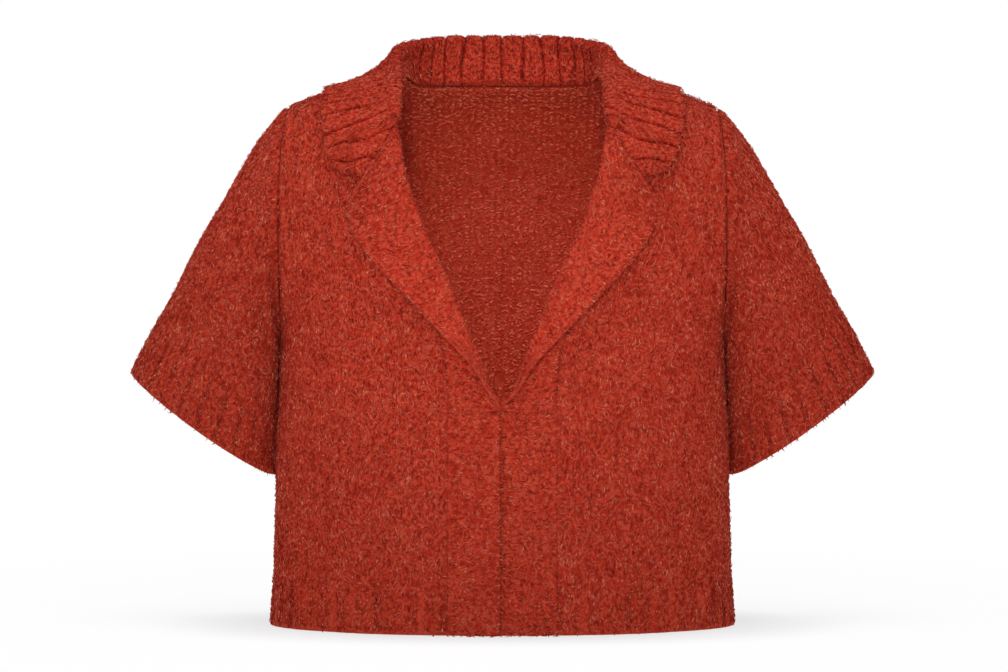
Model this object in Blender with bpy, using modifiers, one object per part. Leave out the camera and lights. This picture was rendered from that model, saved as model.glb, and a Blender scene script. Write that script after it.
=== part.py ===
"""Short-sleeved, cropped knitted cardigan with a ribbed roll collar and lapels, filled out as worn.

Metres, +Z up. The front faces -Y and the wearer's left is +X. The origin lies between the
shoulders, where a wearer holds the garment up. Every panel is a wall of knit that follows one
body form: the form is the inside of the cloth, and each wall is thickened outwards from it.
Half shapes are worked out on the +X side, and side = -1 mirrors them to the wearer's right.
"""

import math
from collections import namedtuple

import bmesh
import bpy
from mathutils import Vector

# The knit
WALL = 0.003  # thickness of the knitted wall
SEAM_GAP = 0.0003  # between two pieces at a seam
RIB_RISE = 0.0009  # rib crests over the wall at the hem and cuffs
COLLAR_RIB_RISE = 0.0016  # rib crests over the wall of the collar
RIB_BAND = 0.038  # depth of the ribbed hem and cuffs
CREST = (0.22, 0.78)  # where a rib's crest starts and ends, as shares of its width

# The body
HEM_Z = -0.531
UNDERARM_Z = -0.253
SHOULDER_POINT = (0.214, -0.0195)  # x and z of the top of the armhole
ARMHOLE_BULGE = 0.0015  # how far the armhole's middle stands out of the line of its ends
FRONT_DEPTH = 0.106
BACK_DEPTH = 0.100
FRONT_ROUND = 0.105  # height over which the front rounds back to the shoulder seam
BACK_ROUND = 0.080
CHEST_SPREAD = 0.42  # how fast the form widens behind the armhole, above the underarm
SPREAD_START = 0.030  # height over which that widening starts

# The front opening
LAP = {"right": 0.0025, "left": -0.0045}  # each band's free edge, from the middle, on its own side
LAP_STEP = {"right": 0.0019, "left": -0.0019}  # the right band lies on top of the left one
FOLD_RADIUS = 0.0031  # of the middle of the wall where a lapel turns back
COLLAR_FOLD_RADIUS = 0.0032  # of the hollow side of the wall where the collar rolls over
BREAK_SPREAD = 2.2  # rows of the lapel table over which a band leaves its lapped edge
STEP_SPREAD = 5.0  # rows of it over which a band comes back from its lapped layer
ROLL_END = 9.0  # row of it above which the lapel's roll narrows towards the gorge
GORGE_HEIGHT = 0.0022  # of the collar over the panel's wall, along the seam with the lapel
FALL_HEIGHT = 0.0008  # of the collar's free edge over the wall that it falls on
CLEAR_HEIGHT = 0.0005  # of the rest of the collar, at the least
STAND_BEND = 0.35  # how straight the collar goes up to its roll, as a share of its reach
FALL_BEND = 0.30
FLAT_STAND = 0.02  # share of stand below which the collar is flat

# Grid sizes
SIDE_ROWS = 5  # rows of cells from above the hem ribs to the underarm
ARM_ROWS = 12  # rows of cells from the underarm to the shoulder
FRONT_COLUMNS = 12
BACK_HALF_COLUMNS = 14
BACK_NECK_COLUMNS = 6  # of the half's columns, those that end at the neck

Width = namedtuple("Width", "z half")
SIDE_SEAM = [  # half width of the form below the underarm
    Width(-0.531, 0.2275),
    Width(-0.490, 0.2262),
    Width(-0.430, 0.2240),
    Width(-0.378, 0.2226),
    Width(-0.310, 0.2202),
    Width(-0.253, 0.2190),
]

Height = namedtuple("Height", "x z")
SHOULDER_LINE = [  # the shoulder seam, carried on over the neck
    Height(0.000, 0.0200),
    Height(0.060, 0.0185),
    Height(0.097, 0.0130),
    Height(0.140, 0.0050),
    Height(0.177, -0.0040),
    Height(0.192, -0.0085),
    Height(0.205, -0.0140),
    Height(0.214, -0.0195),
    Height(0.230, -0.0310),
]
BACK_NECKLINE = [
    Height(0.000, 0.0090),
    Height(0.060, 0.0090),
    Height(0.085, 0.0095),
    Height(0.093, 0.0112),
    Height(0.097, 0.0130),
]
NECK_POINT_X = 0.097

Edge = namedtuple("Edge", "z x")
FRONT_EDGE = [  # the front panel's inner edge: band seam, then neck edge
    Edge(-0.531, 0.0525),
    Edge(-0.315, 0.0525),
    Edge(-0.296, 0.0530),
    Edge(-0.262, 0.0562),
    Edge(-0.235, 0.0625),
    Edge(-0.190, 0.0765),
    Edge(-0.157, 0.0880),
    Edge(-0.118, 0.0985),
    Edge(-0.088, 0.1040),
    Edge(-0.062, 0.1070),
    Edge(-0.043, 0.1080),
    Edge(-0.012, 0.1035),
    Edge(0.013, 0.0970),
]

# A band from the hem to the gorge, one row a section. The cloth runs from the seam to the roll,
# turns back by turn degrees, and runs on to its free edge.
Lapel = namedtuple("Lapel", "seam_x seam_z roll_x roll_z edge_x edge_z turn")
LAPEL = [
    Lapel(0.0525, -0.3150, 0.0030, -0.3150, 0.0030, -0.3150, 0),
    Lapel(0.0525, -0.3080, 0.0052, -0.3080, 0.0052, -0.3080, 55),
    Lapel(0.0527, -0.3010, 0.0078, -0.3010, 0.0085, -0.3015, 110),
    Lapel(0.0532, -0.2930, 0.0105, -0.2930, 0.0140, -0.2950, 150),
    Lapel(0.0545, -0.2780, 0.0158, -0.2780, 0.0215, -0.2805, 175),
    Lapel(0.0562, -0.2620, 0.0225, -0.2600, 0.0330, -0.2650, 180),
    Lapel(0.0625, -0.2350, 0.0359, -0.2287, 0.0600, -0.2360, 180),
    Lapel(0.0765, -0.1900, 0.0550, -0.1809, 0.0940, -0.1990, 180),
    Lapel(0.0880, -0.1570, 0.0703, -0.1494, 0.1180, -0.1725, 180),
    Lapel(0.0985, -0.1180, 0.0840, -0.1120, 0.1375, -0.1440, 180),
    Lapel(0.1040, -0.0880, 0.0930, -0.0840, 0.1408, -0.1240, 180),
    Lapel(0.1070, -0.0620, 0.0998, -0.0600, 0.1370, -0.1070, 180),
    Lapel(0.1078, -0.0476, 0.1032, -0.0482, 0.1303, -0.0955, 180),
]
BAND_FLAT_ROWS = 6  # rows of cells from the hem to the break
LAPEL_ROWS = 20  # rows of cells from the break to the gorge
BAND_COLUMNS = (3, 4, 4)  # cells under the roll, round it and on the lapel
LAPEL_LIFT = 0.0004  # how much nearer the lapel's free edge lies to the panel than its roll

# The collar's half, from the middle of the back to its free end. The neck edge is sewn along the
# neckline and down the gorge. The roll is the crest, and the edge is free. Ribs are counted along
# it, and stand is 1 where the cloth stands and rolls over, and 0 where it lies flat.
Collar = namedtuple("Collar", "ribs neck roll edge stand")
COLLAR = [
    Collar(0.0, (0.000, 0.0505, 0.0090), (0.000, 0.067, 0.0600), (0.000, 0.086, 0.0000), 1),
    Collar(3.0, (0.060, 0.0465, 0.0090), (0.058, 0.061, 0.0588), (0.078, 0.080, -0.0010), 1),
    Collar(5.5, (0.088, 0.0330, 0.0097), (0.089, 0.040, 0.0515), (0.140, 0.062, -0.0030), 1),
    Collar(8.0, (0.0972, 0.004, 0.0128), (0.103, 0.012, 0.0430), (0.172, 0.027, 0.0000), 1),
    Collar(10.5, (0.0980, -0.021, 0.0105), (0.105, -0.014, 0.0270), (0.174, -0.010, -0.0010), 1),
    Collar(12.8, (0.1012, -0.049, -0.0010), (0.104, -0.045, 0.0080), (0.172, -0.042, -0.0180), 1),
    Collar(15.0, (0.1048, -0.0712, -0.0200), (0.103, -0.075, -0.0140), (0.1695, -0.062, -0.0420), 1),
    Collar(16.2, (0.1065, -0.081, -0.0325), (0.1025, -0.092, -0.0285), (0.1670, -0.075, -0.0580), 1),
    Collar(16.9, (0.1066, -0.096, -0.0425), (0.1066, -0.096, -0.0425), (0.1650, -0.078, -0.0660), 0),
    Collar(17.8, (0.1182, -0.096, -0.0692), (0.1182, -0.096, -0.0692), (0.1610, -0.082, -0.0760), 0),
    Collar(18.5, (0.1249, -0.097, -0.0819), (0.1249, -0.097, -0.0819), (0.1560, -0.085, -0.0835), 0),
    Collar(19.0, (0.1308, -0.097, -0.0925), (0.1308, -0.097, -0.0925), (0.1500, -0.090, -0.0885), 0),
]
COLLAR_COLUMNS = (2, 4, 3)  # cells on the stand, round the roll and on the fall

# A sleeve, one row a ring, from the armhole to the cuff.
Ring = namedtuple("Ring", "top_x top_z under_x under_z half_depth middle_y")
SLEEVE = [
    Ring(0.2140, -0.0195, 0.2190, -0.2530, 0.0600, 0.0000),
    Ring(0.2190, -0.0240, 0.2232, -0.2530, 0.0600, 0.0000),
    Ring(0.2290, -0.0360, 0.2258, -0.2555, 0.0595, 0.0010),
    Ring(0.2399, -0.0496, 0.2256, -0.2600, 0.0585, 0.0020),
    Ring(0.2529, -0.0695, 0.2256, -0.2700, 0.0575, 0.0040),
    Ring(0.2759, -0.1095, 0.2260, -0.2880, 0.0560, 0.0070),
    Ring(0.2999, -0.1495, 0.2266, -0.3080, 0.0545, 0.0100),
    Ring(0.3199, -0.1895, 0.2274, -0.3280, 0.0530, 0.0125),
    Ring(0.3419, -0.2295, 0.2284, -0.3480, 0.0515, 0.0145),
    Ring(0.3699, -0.2810, 0.2310, -0.3825, 0.0500, 0.0170),
]
SLEEVE_RINGS = 9  # rows of cells from the armhole to the cuff ribs
CUFF_SAG = 0.0050  # how far the cuff's middle hangs below the line of its ends
SLEEVE_SLANT = 1.2  # of the sleeve's length to its drop
CUFF_STEP = 0.2  # rows of the table from the cuff ribs' top to the plain row over them
SLEEVE_FIRST_RING = 0.9  # the first row after the armhole, in rows of the table
ARMHOLE_SHARE = 0.35  # of the sleeve's length over which its rings keep the armhole's own shape
SIDE_CLEARANCE = 0.0006  # between the sleeve's underside and the body's side

YARN_COLOUR = (0.43, 0.055, 0.028, 1.0)
COLLECTION = "cardigan"


def clear_scene():
    for item in list(bpy.data.objects):
        bpy.data.objects.remove(item, do_unlink=True)


# Numbers and curves


def mix(a, b, share):
    return a + (b - a) * share


def ease(share):
    share = min(max(share, 0.0), 1.0)
    return share * share * (3.0 - 2.0 * share)


def smooth_value(keys, values, at):
    """A value on the smooth curve through (key, value) pairs, with the keys rising."""
    last = len(keys) - 1
    i = 0
    while i < last - 1 and at > keys[i + 1]:
        i += 1
    span = keys[i + 1] - keys[i]
    share = (at - keys[i]) / span
    slope = [0.0, 0.0]
    for end in (0, 1):
        j = i + end
        before = max(j - 1, 0)
        after = min(j + 1, last)
        slope[end] = (values[after] - values[before]) / (keys[after] - keys[before]) * span
    squared = share * share
    cubed = squared * share
    return (
        values[i] * (2 * cubed - 3 * squared + 1)
        + slope[0] * (cubed - 2 * squared + share)
        + values[i + 1] * (3 * squared - 2 * cubed)
        + slope[1] * (cubed - squared)
    )


def look_up(table, key, column, at):
    return smooth_value([getattr(r, key) for r in table], [getattr(r, column) for r in table], at)


def smooth_row(table, at):
    """The row of a table at a position counted in rows, with every column read smoothly."""
    keys = list(range(len(table)))
    values = [smooth_value(keys, [row[i] for row in table], at) for i in range(len(table[0]))]
    return type(table[0])(*values)


def walk(points, distance):
    """The point at a distance along a chain of points."""
    for here, there in zip(points, points[1:]):
        step = (there - here).length
        if distance <= step and step > 0:
            return here.lerp(there, distance / step)
        distance -= step
    return points[-1].copy()


def chain_length(points):
    return sum((b - a).length for a, b in zip(points, points[1:]))


# The body form, which is the inside of the worn cloth


def half_width(z):
    above = z - UNDERARM_Z
    if above > 0:
        return SIDE_SEAM[-1].half + CHEST_SPREAD * above * above / (above + SPREAD_START)
    return look_up(SIDE_SEAM, "z", "half", max(z, HEM_Z))


def shoulder_z(x):
    return look_up(SHOULDER_LINE, "x", "z", min(abs(x), SHOULDER_LINE[-1].x))


def form_value(x, y, z):
    """Below 0 inside the form and over 0 outside it."""
    depth, rounding = (FRONT_DEPTH, FRONT_ROUND) if y < 0 else (BACK_DEPTH, BACK_ROUND)
    drop = min((shoulder_z(x) - z) / rounding, 1.0)
    across = 1.0 - (x / half_width(z)) ** 2
    return (y / depth) ** 2 - across * (2.0 * drop - drop * drop)


def form_slope(point):
    step = 1e-5
    x, y, z = point
    return Vector(
        (
            form_value(x + step, y, z) - form_value(x - step, y, z),
            form_value(x, y + step, z) - form_value(x, y - step, z),
            form_value(x, y, z + step) - form_value(x, y, z - step),
        )
    ) / (2 * step)


def form_point(x, z, face):
    """The form's point at x and z, on the front (face -1) or on the back (face 1)."""
    squared = -form_value(x, 0.0 if face > 0 else -1e-12, z)
    depth = BACK_DEPTH if face > 0 else FRONT_DEPTH
    return Vector((x, face * depth * math.sqrt(max(squared, 0.0)), z))


def settle(point, height):
    """Moves a point along the form's own outward direction until it lies at a height over it."""
    for _ in range(4):
        slope = form_slope(point)
        now = form_value(*point) / slope.length
        point = point + slope.normalized() * (height - now)
    return point


def lift(point, height):
    """Moves a point out to a height over the form, unless it is already as far out."""
    slope = form_slope(point)
    if form_value(*point) / slope.length >= height:
        return point
    return settle(point, height)


# Walls


def rib_columns(columns):
    """Where the points of a ribbed row stand, in columns, and how far each is raised."""
    places = []
    for column in range(columns):
        places.append((column, 0.0))
        places.append((column + CREST[0], 1.0))
        places.append((column + CREST[1], 1.0))
    return places + [(columns, 0.0)]


def wall(name, rows, place, columns, ribbed, rise, closed=False, turned=False):
    """A wall of knit. Rows are positions along the wales, and place(row, column) is the point.

    The ribbed rows have three points for each column, and the others have one. The points lie on
    the hollow side of the cloth, and its outside is raised from them, ribs included.
    """
    mesh = bmesh.new()
    weights = mesh.verts.layers.deform.verify()
    plain_share = WALL / (WALL + rise)
    grid = []
    for index, row in enumerate(rows):
        if index in ribbed:
            stations = rib_columns(columns)
        else:
            stations = [(column, 0.0) for column in range(columns + 1)]
        if closed:
            stations = stations[:-1]
        line = []
        for column, raised in stations:
            vert = mesh.verts.new(place(row, column))
            vert[weights][0] = mix(plain_share, 1.0, raised)
            line.append(vert)
        grid.append(line)
    for lower, upper in zip(grid, grid[1:]):
        join_rows(mesh, lower, upper, columns, closed)
    if turned:
        bmesh.ops.reverse_faces(mesh, faces=mesh.faces)
    return finish_wall(name, mesh, WALL + rise, 1.0)


def join_rows(mesh, lower, upper, columns, closed):
    """Faces between two rows of points, also where one is ribbed and the other is plain."""

    def at(line, index):
        return line[index % len(line)] if closed else line[index]

    dense, sparse = len(lower) > len(upper), len(lower) < len(upper)
    if dense or sparse:
        fine, plain = (lower, upper) if dense else (upper, lower)
        for column in range(columns):
            a, b, c, d = (at(fine, 3 * column + i) for i in range(4))
            near, far = at(plain, column), at(plain, column + 1)
            for face in ((a, b, near), (b, c, far, near), (c, d, far)):
                mesh.faces.new(face if dense else face[::-1])
        return
    cells = len(lower) if closed else len(lower) - 1
    for i in range(cells):
        mesh.faces.new((at(lower, i), at(lower, i + 1), at(upper, i + 1), at(upper, i)))


def finish_wall(name, mesh, thickness, offset):
    data = bpy.data.meshes.new(name)
    mesh.to_mesh(data)
    mesh.free()
    data.shade_smooth()
    piece = bpy.data.objects.new(name, data)
    bpy.data.collections[COLLECTION].objects.link(piece)
    piece.data.materials.append(knit_material(name))
    solidify = piece.modifiers.new("wall", "SOLIDIFY")
    solidify.thickness = thickness
    solidify.offset = offset
    if offset:
        piece.vertex_groups.new(name="height")
        solidify.vertex_group = "height"
        solidify.thickness_vertex_group = 0.0
    return piece


def knit_material(name):
    material = bpy.data.materials.new(f"{name}_yarn")
    material.use_nodes = True
    shader = material.node_tree.nodes["Principled BSDF"]
    shader.inputs["Base Color"].default_value = YARN_COLOUR
    shader.inputs["Roughness"].default_value = 0.95
    shader.inputs["Metallic"].default_value = 0.0
    material.diffuse_color = YARN_COLOUR
    return material


# Body panels


def body_rows():
    """Heights below the underarm, then rows counted above it, all as (z or None, arm row)."""
    above_ribs = HEM_Z + RIB_BAND
    rows = [(HEM_Z, 0), (above_ribs, 0), (above_ribs + 0.008, 0)]
    start = rows[-1][0]
    rows += [(mix(start, UNDERARM_Z, i / SIDE_ROWS), 0) for i in range(1, SIDE_ROWS + 1)]
    return rows + [(None, i) for i in range(1, ARM_ROWS + 1)]


def armhole_point(row):
    """x and z of the armhole's edge, with rows counted from the underarm to the shoulder."""
    share = (1.0 - math.cos(math.pi * row / ARM_ROWS)) / 2.0
    x = mix(SIDE_SEAM[-1].half, SHOULDER_POINT[0], share)
    return x + ARMHOLE_BULGE * math.sin(math.pi * share), mix(UNDERARM_Z, SHOULDER_POINT[1], share)


def front_place(row, column):
    """A point of the front panel, on the +X side."""
    z, arm_row = row
    share = column / FRONT_COLUMNS
    if z is None:
        edge_z = mix(UNDERARM_Z, FRONT_EDGE[-1].z, arm_row / ARM_ROWS)
        outer_x, outer_z = armhole_point(arm_row)
    else:
        edge_z = outer_z = z
        outer_x = half_width(z)
    inner_x = look_up(FRONT_EDGE, "z", "x", edge_z)
    around = half_width(outer_z)
    first, last = math.asin(inner_x / around), math.asin(min(outer_x / around, 1.0))
    x = around * math.sin(mix(first, last, share))
    if z is not None:
        return form_point(x, z, -1)
    rise = mix(part_up(edge_z, inner_x), part_up(outer_z, outer_x), share)
    return form_point(x, mix(UNDERARM_Z, shoulder_z(x), rise), -1)


def part_up(z, x):
    """How far a height is up from the underarm to the shoulder line over x."""
    return (z - UNDERARM_Z) / (shoulder_z(x) - UNDERARM_Z)


def back_top(x):
    if x < NECK_POINT_X:
        return look_up(BACK_NECKLINE, "x", "z", x)
    return shoulder_z(x)


def back_place(row, column):
    """A point of the back panel, with columns from the wearer's right to the left."""
    z, arm_row = row
    side = 1 if column >= BACK_HALF_COLUMNS else -1
    steps = abs(column - BACK_HALF_COLUMNS)
    share = steps / BACK_HALF_COLUMNS
    if z is not None:
        x = half_width(z) * math.sin(math.radians(90.0 * share))
        return form_point(side * x, z, 1)
    outer_x, outer_z = armhole_point(arm_row)
    around = half_width(outer_z)
    x_wide = around * math.sin(math.asin(outer_x / around) * share)
    if steps <= BACK_NECK_COLUMNS:
        x_top = NECK_POINT_X * steps / BACK_NECK_COLUMNS
    else:
        over = (steps - BACK_NECK_COLUMNS) / (BACK_HALF_COLUMNS - BACK_NECK_COLUMNS)
        x_top = mix(NECK_POINT_X, outer_x, over)
    x = mix(x_wide, x_top, ease(arm_row / ARM_ROWS))
    rise = mix(arm_row / ARM_ROWS, part_up(outer_z, outer_x), share)
    return form_point(side * x, mix(UNDERARM_Z, back_top(x), rise), 1)


def shrink_from_seams(place, last_row, columns, both_sides):
    """Draws a panel in by half the seam gap along its sewn edges."""

    def inner(row, column):
        point = place(row, column)
        margin = 0.02
        if column == columns:
            towards = place(row, column - margin)
            point = point + (towards - point).normalized() * SEAM_GAP / 2
        if column == 0:
            towards = place(row, column + margin)
            point = point + (towards - point).normalized() * SEAM_GAP / (2 if both_sides else 1)
        if row == last_row:
            down = place((None, ARM_ROWS - 1), column) - point
            point = point + down.normalized() * SEAM_GAP / 2
        return point

    return inner


def make_front(side, name):
    rows = body_rows()
    place = shrink_from_seams(front_place, rows[-1], FRONT_COLUMNS, False)

    def sided(row, column):
        point = place(row, column)
        return Vector((side * point.x, point.y, point.z))

    return wall(name, rows, sided, FRONT_COLUMNS, (0, 1), RIB_RISE, turned=side < 0)


def make_back():
    rows = body_rows()
    columns = 2 * BACK_HALF_COLUMNS
    place = shrink_from_seams(back_place, rows[-1], columns, True)
    return wall("back", rows, place, columns, (0, 1), RIB_RISE, turned=True)


# Sleeves


def armhole_column(column):
    """The face, front or back, and the arm row of a column round the sleeve."""
    face = -1 if column <= ARM_ROWS else 1
    return face, column if face < 0 else 2 * ARM_ROWS - column


def free_ring(ring_at, column):
    """A point of the sleeve's own rings, which are ovals from the underside to the top."""
    ring = smooth_row(SLEEVE, ring_at)
    face, arm_row = armhole_column(column)
    angle = math.pi * arm_row / ARM_ROWS
    share = (1.0 - math.cos(angle)) / 2.0
    onward = Vector((ring.top_z - ring.under_z, 0, ring.under_x - ring.top_x)).normalized()
    sag = CUFF_SAG * (ring_at / (len(SLEEVE) - 1)) ** 2 * math.sin(angle)
    return onward * sag + Vector(
        (
            mix(ring.under_x, ring.top_x, share),
            ring.middle_y + face * ring.half_depth * math.sin(angle),
            mix(ring.under_z, ring.top_z, share),
        )
    )


def sleeve_start(column):
    """The sleeve's sewn edge. Where the sleeve turns out from the panel, its wall is set beyond
    the panel's edge by as much as the wall leans over it."""
    face, arm_row = armhole_column(column)
    edge = form_point(*armhole_point(arm_row), face)
    outward = form_slope(edge).normalized()
    along = Vector((0, 1, 0))
    if 0 < arm_row < ARM_ROWS:
        step = 0.02
        along = form_point(*armhole_point(arm_row + step), face)
        along -= form_point(*armhole_point(arm_row - step), face)
    onward = outward.cross(along).normalized()
    if onward.x + onward.z < 0:
        onward = -onward
    away = (free_ring(SLEEVE_FIRST_RING, column) - free_ring(0, column)).normalized()
    return edge + onward * (SEAM_GAP + WALL * max(0.0, away.dot(outward)))


def sleeve_place(ring_at, column):
    """A point of the sleeve on the +X side. Columns go up the front from the underarm, then down
    the back."""
    onward = (ring_at - SLEEVE_FIRST_RING) / (len(SLEEVE) - 1)
    near = 1.0 - ease(onward / ARMHOLE_SHARE)
    point = free_ring(ring_at, column)
    if near > 0:
        point += (sleeve_start(column) - free_ring(0, column)) * near
    if point.z < UNDERARM_Z:
        point = lift(point, 2 * WALL + SIDE_CLEARANCE)
    return point


def make_sleeve(side, name):
    last = len(SLEEVE) - 1
    length = (SLEEVE[0].top_z - SLEEVE[-1].top_z) * SLEEVE_SLANT
    ribs_start = last * (1.0 - RIB_BAND / length)
    steps = range(1, SLEEVE_RINGS)
    plain = [0] + [mix(SLEEVE_FIRST_RING, ribs_start, (i - 1) / (SLEEVE_RINGS - 1)) for i in steps]
    rows = [last, ribs_start, ribs_start - CUFF_STEP] + plain[::-1]

    def sided(row, column):
        point = sleeve_place(row, column)
        return Vector((side * point.x, point.y, point.z))

    return wall(
        name, rows, sided, 2 * ARM_ROWS, (0, 1), RIB_RISE, closed=True, turned=side < 0
    )


# Front bands with their lapels


def band_section(row, step, inset):
    """The band's line across one section, as points of the middle of its wall. The table's roll is
    the outermost line of the turned cloth, and inset is the share of the turn kept inside it."""
    seam = Vector((row.seam_x - SEAM_GAP, row.seam_z))
    roll = Vector((row.roll_x, row.roll_z))
    edge = Vector((row.edge_x, row.edge_z))
    turn = math.radians(row.turn)
    under = (roll - seam).normalized()
    roll = roll - under * (FOLD_RADIUS + WALL / 2) * math.sin(min(turn, math.pi / 2)) * inset
    over = (edge - roll).normalized() if (edge - roll).length > 1e-6 else -under
    height = WALL / 2
    line = []
    cells_under, cells_round, cells_over = BAND_COLUMNS
    for i in range(cells_under):
        share = i / cells_under
        line.append((seam.lerp(roll, share), height + step * ease(share)))
    for i in range(cells_round + 1):
        angle = turn * i / cells_round
        ahead = under.lerp(-over, angle / math.pi).normalized()
        place = roll + ahead * FOLD_RADIUS * math.sin(angle)
        line.append((place, height + step + FOLD_RADIUS * (1 - math.cos(angle))))
    place, top = line[-1]
    for i in range(1, cells_over + 1):
        share = i / cells_over
        line.append((place.lerp(edge, share), top - LAPEL_LIFT * share))
    return [settle(form_point(p.x, p.y, -1), h) for p, h in line]


def flat_section(z, free_edge, step):
    """The band's line across a section below the break, where it lies flat."""
    cells = sum(BAND_COLUMNS)
    seam_x = look_up(FRONT_EDGE, "z", "x", z) - SEAM_GAP
    line = []
    for i in range(cells + 1):
        share = i / cells
        point = form_point(mix(seam_x, free_edge, share), z, -1)
        line.append(settle(point, WALL / 2 + step * ease(share)))
    return line


def make_band(side_name, side):
    name = f"band_{side_name}"
    free_edge = LAP[side_name]
    step = LAP_STEP[side_name]
    sections = []
    for i in range(BAND_FLAT_ROWS):
        sections.append(flat_section(mix(HEM_Z, LAPEL[0].seam_z, i / BAND_FLAT_ROWS), free_edge, step))
    last = len(LAPEL) - 1
    for i in range(LAPEL_ROWS + 1):
        at = last * i / LAPEL_ROWS
        row = smooth_row(LAPEL, at)
        shift = (free_edge - LAPEL[0].edge_x) * (1.0 - ease(at / BREAK_SPREAD))
        row = row._replace(
            roll_x=row.roll_x + shift, edge_x=row.edge_x + shift, turn=min(max(row.turn, 0.0), 180.0)
        )
        narrow = ease((at - ROLL_END) / (last - ROLL_END))
        sections.append(band_section(row, step * (1.0 - ease(at / STEP_SPREAD)), 1.0 - narrow))
    mesh = bmesh.new()
    grid = [
        [mesh.verts.new((side * point.x, point.y, point.z)) for point in section]
        for section in sections
    ]
    for lower, upper in zip(grid, grid[1:]):
        join_rows(mesh, lower, upper, 0, False)
    if side > 0:
        bmesh.ops.reverse_faces(mesh, faces=mesh.faces)
    return finish_wall(name, mesh, WALL, 0.0)


# Collar


def collar_row(ribs):
    """The collar's neck, roll and edge points at a rib number, and its share of stand."""
    keys = [row.ribs for row in COLLAR]
    points = []
    for column in ("neck", "roll", "edge"):
        axes = [[getattr(row, column)[axis] for row in COLLAR] for axis in range(3)]
        points.append(Vector([smooth_value(keys, values, ribs) for values in axes]))
    stand = smooth_value(keys, [row.stand for row in COLLAR], ribs)
    return points[0], points[1], points[2], min(max(stand, 0.0), 1.0)


def collar_section(ribs):
    """The hollow side of the collar across one section, from the neck edge to the free edge."""
    neck, roll, edge, stand = collar_row(ribs)
    neck = settle(neck, mix(WALL + GORGE_HEIGHT, WALL + SEAM_GAP, stand))
    edge = lift(edge, WALL + FALL_HEIGHT)
    if stand < FLAT_STAND:
        line = [neck.lerp(edge, i / 8) for i in range(9)]
    else:
        up = ((roll - neck).normalized() + (roll - edge).normalized()).normalized()
        out = (edge - neck) - up * (edge - neck).dot(up)
        out.normalize()
        radius = COLLAR_FOLD_RADIUS * stand
        centre = roll - up * radius
        start, end = centre - out * radius, centre + out * radius
        line = bend(neck, start, up, STAND_BEND, 4)
        line += [
            centre + (up * math.cos(a) + out * math.sin(a)) * radius
            for a in (math.radians(-90 + 22.5 * i) for i in range(1, 8))
        ]
        line += bend(edge, end, up, FALL_BEND, 6)[::-1]
    line = [line[0]] + [lift(point, WALL + CLEAR_HEIGHT) for point in line[1:]]
    return [walk(line, distance) for distance in collar_stations(line, stand)]


def bend(foot, head, up, share, cells):
    """Points from a foot to a head that they reach going straight up."""
    reach = (head - foot).length
    control = head - up * reach * share
    points = []
    for i in range(cells + 1):
        t = i / cells
        points.append(foot * (1 - t) ** 2 + control * 2 * t * (1 - t) + head * t * t)
    return points


def collar_stations(line, stand):
    """Distances along a section: even on flat cloth, and close together round the roll."""
    total = chain_length(line)
    cells = sum(COLLAR_COLUMNS)
    even = [total * i / cells for i in range(cells + 1)]
    if stand < FLAT_STAND:
        return even
    to_roll = chain_length(line[:5])
    round_roll = chain_length(line[4:13])
    counts = COLLAR_COLUMNS
    close = [to_roll * i / counts[0] for i in range(counts[0])]
    close += [to_roll + round_roll * i / counts[1] for i in range(counts[1])]
    rest = total - to_roll - round_roll
    close += [to_roll + round_roll + rest * i / counts[2] for i in range(counts[2] + 1)]
    return [mix(a, b, stand) for a, b in zip(even, close)]


def make_collar():
    """The strip from its right end to its left end. Ribs run from the neck edge to the free edge,
    so its rows go along it, and each row has one point for each line across."""
    half = COLLAR[-1].ribs
    mesh = bmesh.new()
    weights = mesh.verts.layers.deform.verify()
    grid = []
    for place, raised in rib_columns(int(2 * half)):
        ribs = place - half
        side = 1 if ribs >= 0 else -1
        line = []
        for point in collar_section(abs(ribs)):
            vert = mesh.verts.new((side * point.x, point.y, point.z))
            vert[weights][0] = mix(WALL / (WALL + COLLAR_RIB_RISE), 1.0, raised)
            line.append(vert)
        grid.append(line)
    for lower, upper in zip(grid, grid[1:]):
        join_rows(mesh, upper, lower, 0, False)
    return finish_wall("collar", mesh, WALL + COLLAR_RIB_RISE, 1.0)


def build():
    clear_scene()
    collection = bpy.data.collections.new(COLLECTION)
    bpy.context.scene.collection.children.link(collection)
    make_back()
    for side_name, side in (("right", -1), ("left", 1)):
        make_front(side, f"front_{side_name}")
        make_sleeve(side, f"sleeve_{side_name}")
        make_band(side_name, side)
    make_collar()


build()
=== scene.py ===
import math
from collections import namedtuple

import bpy
import numpy as np
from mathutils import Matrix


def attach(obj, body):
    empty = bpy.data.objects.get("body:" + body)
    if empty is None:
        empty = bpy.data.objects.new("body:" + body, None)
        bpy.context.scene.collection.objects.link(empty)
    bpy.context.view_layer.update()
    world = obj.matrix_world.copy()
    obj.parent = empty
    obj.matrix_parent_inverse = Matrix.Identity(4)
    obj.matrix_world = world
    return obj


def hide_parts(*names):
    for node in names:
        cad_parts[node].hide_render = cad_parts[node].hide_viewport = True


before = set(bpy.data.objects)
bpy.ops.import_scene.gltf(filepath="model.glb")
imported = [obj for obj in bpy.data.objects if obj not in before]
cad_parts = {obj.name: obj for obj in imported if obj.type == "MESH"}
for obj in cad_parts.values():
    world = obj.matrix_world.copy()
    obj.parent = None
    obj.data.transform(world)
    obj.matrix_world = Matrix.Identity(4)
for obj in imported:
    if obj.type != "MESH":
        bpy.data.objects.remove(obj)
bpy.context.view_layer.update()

# The cloth's own shape. The cardigan is knitted flat, sewn, and shown filled out, so every panel
# follows one body form. These sizes and tables are the garment's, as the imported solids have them.

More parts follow.
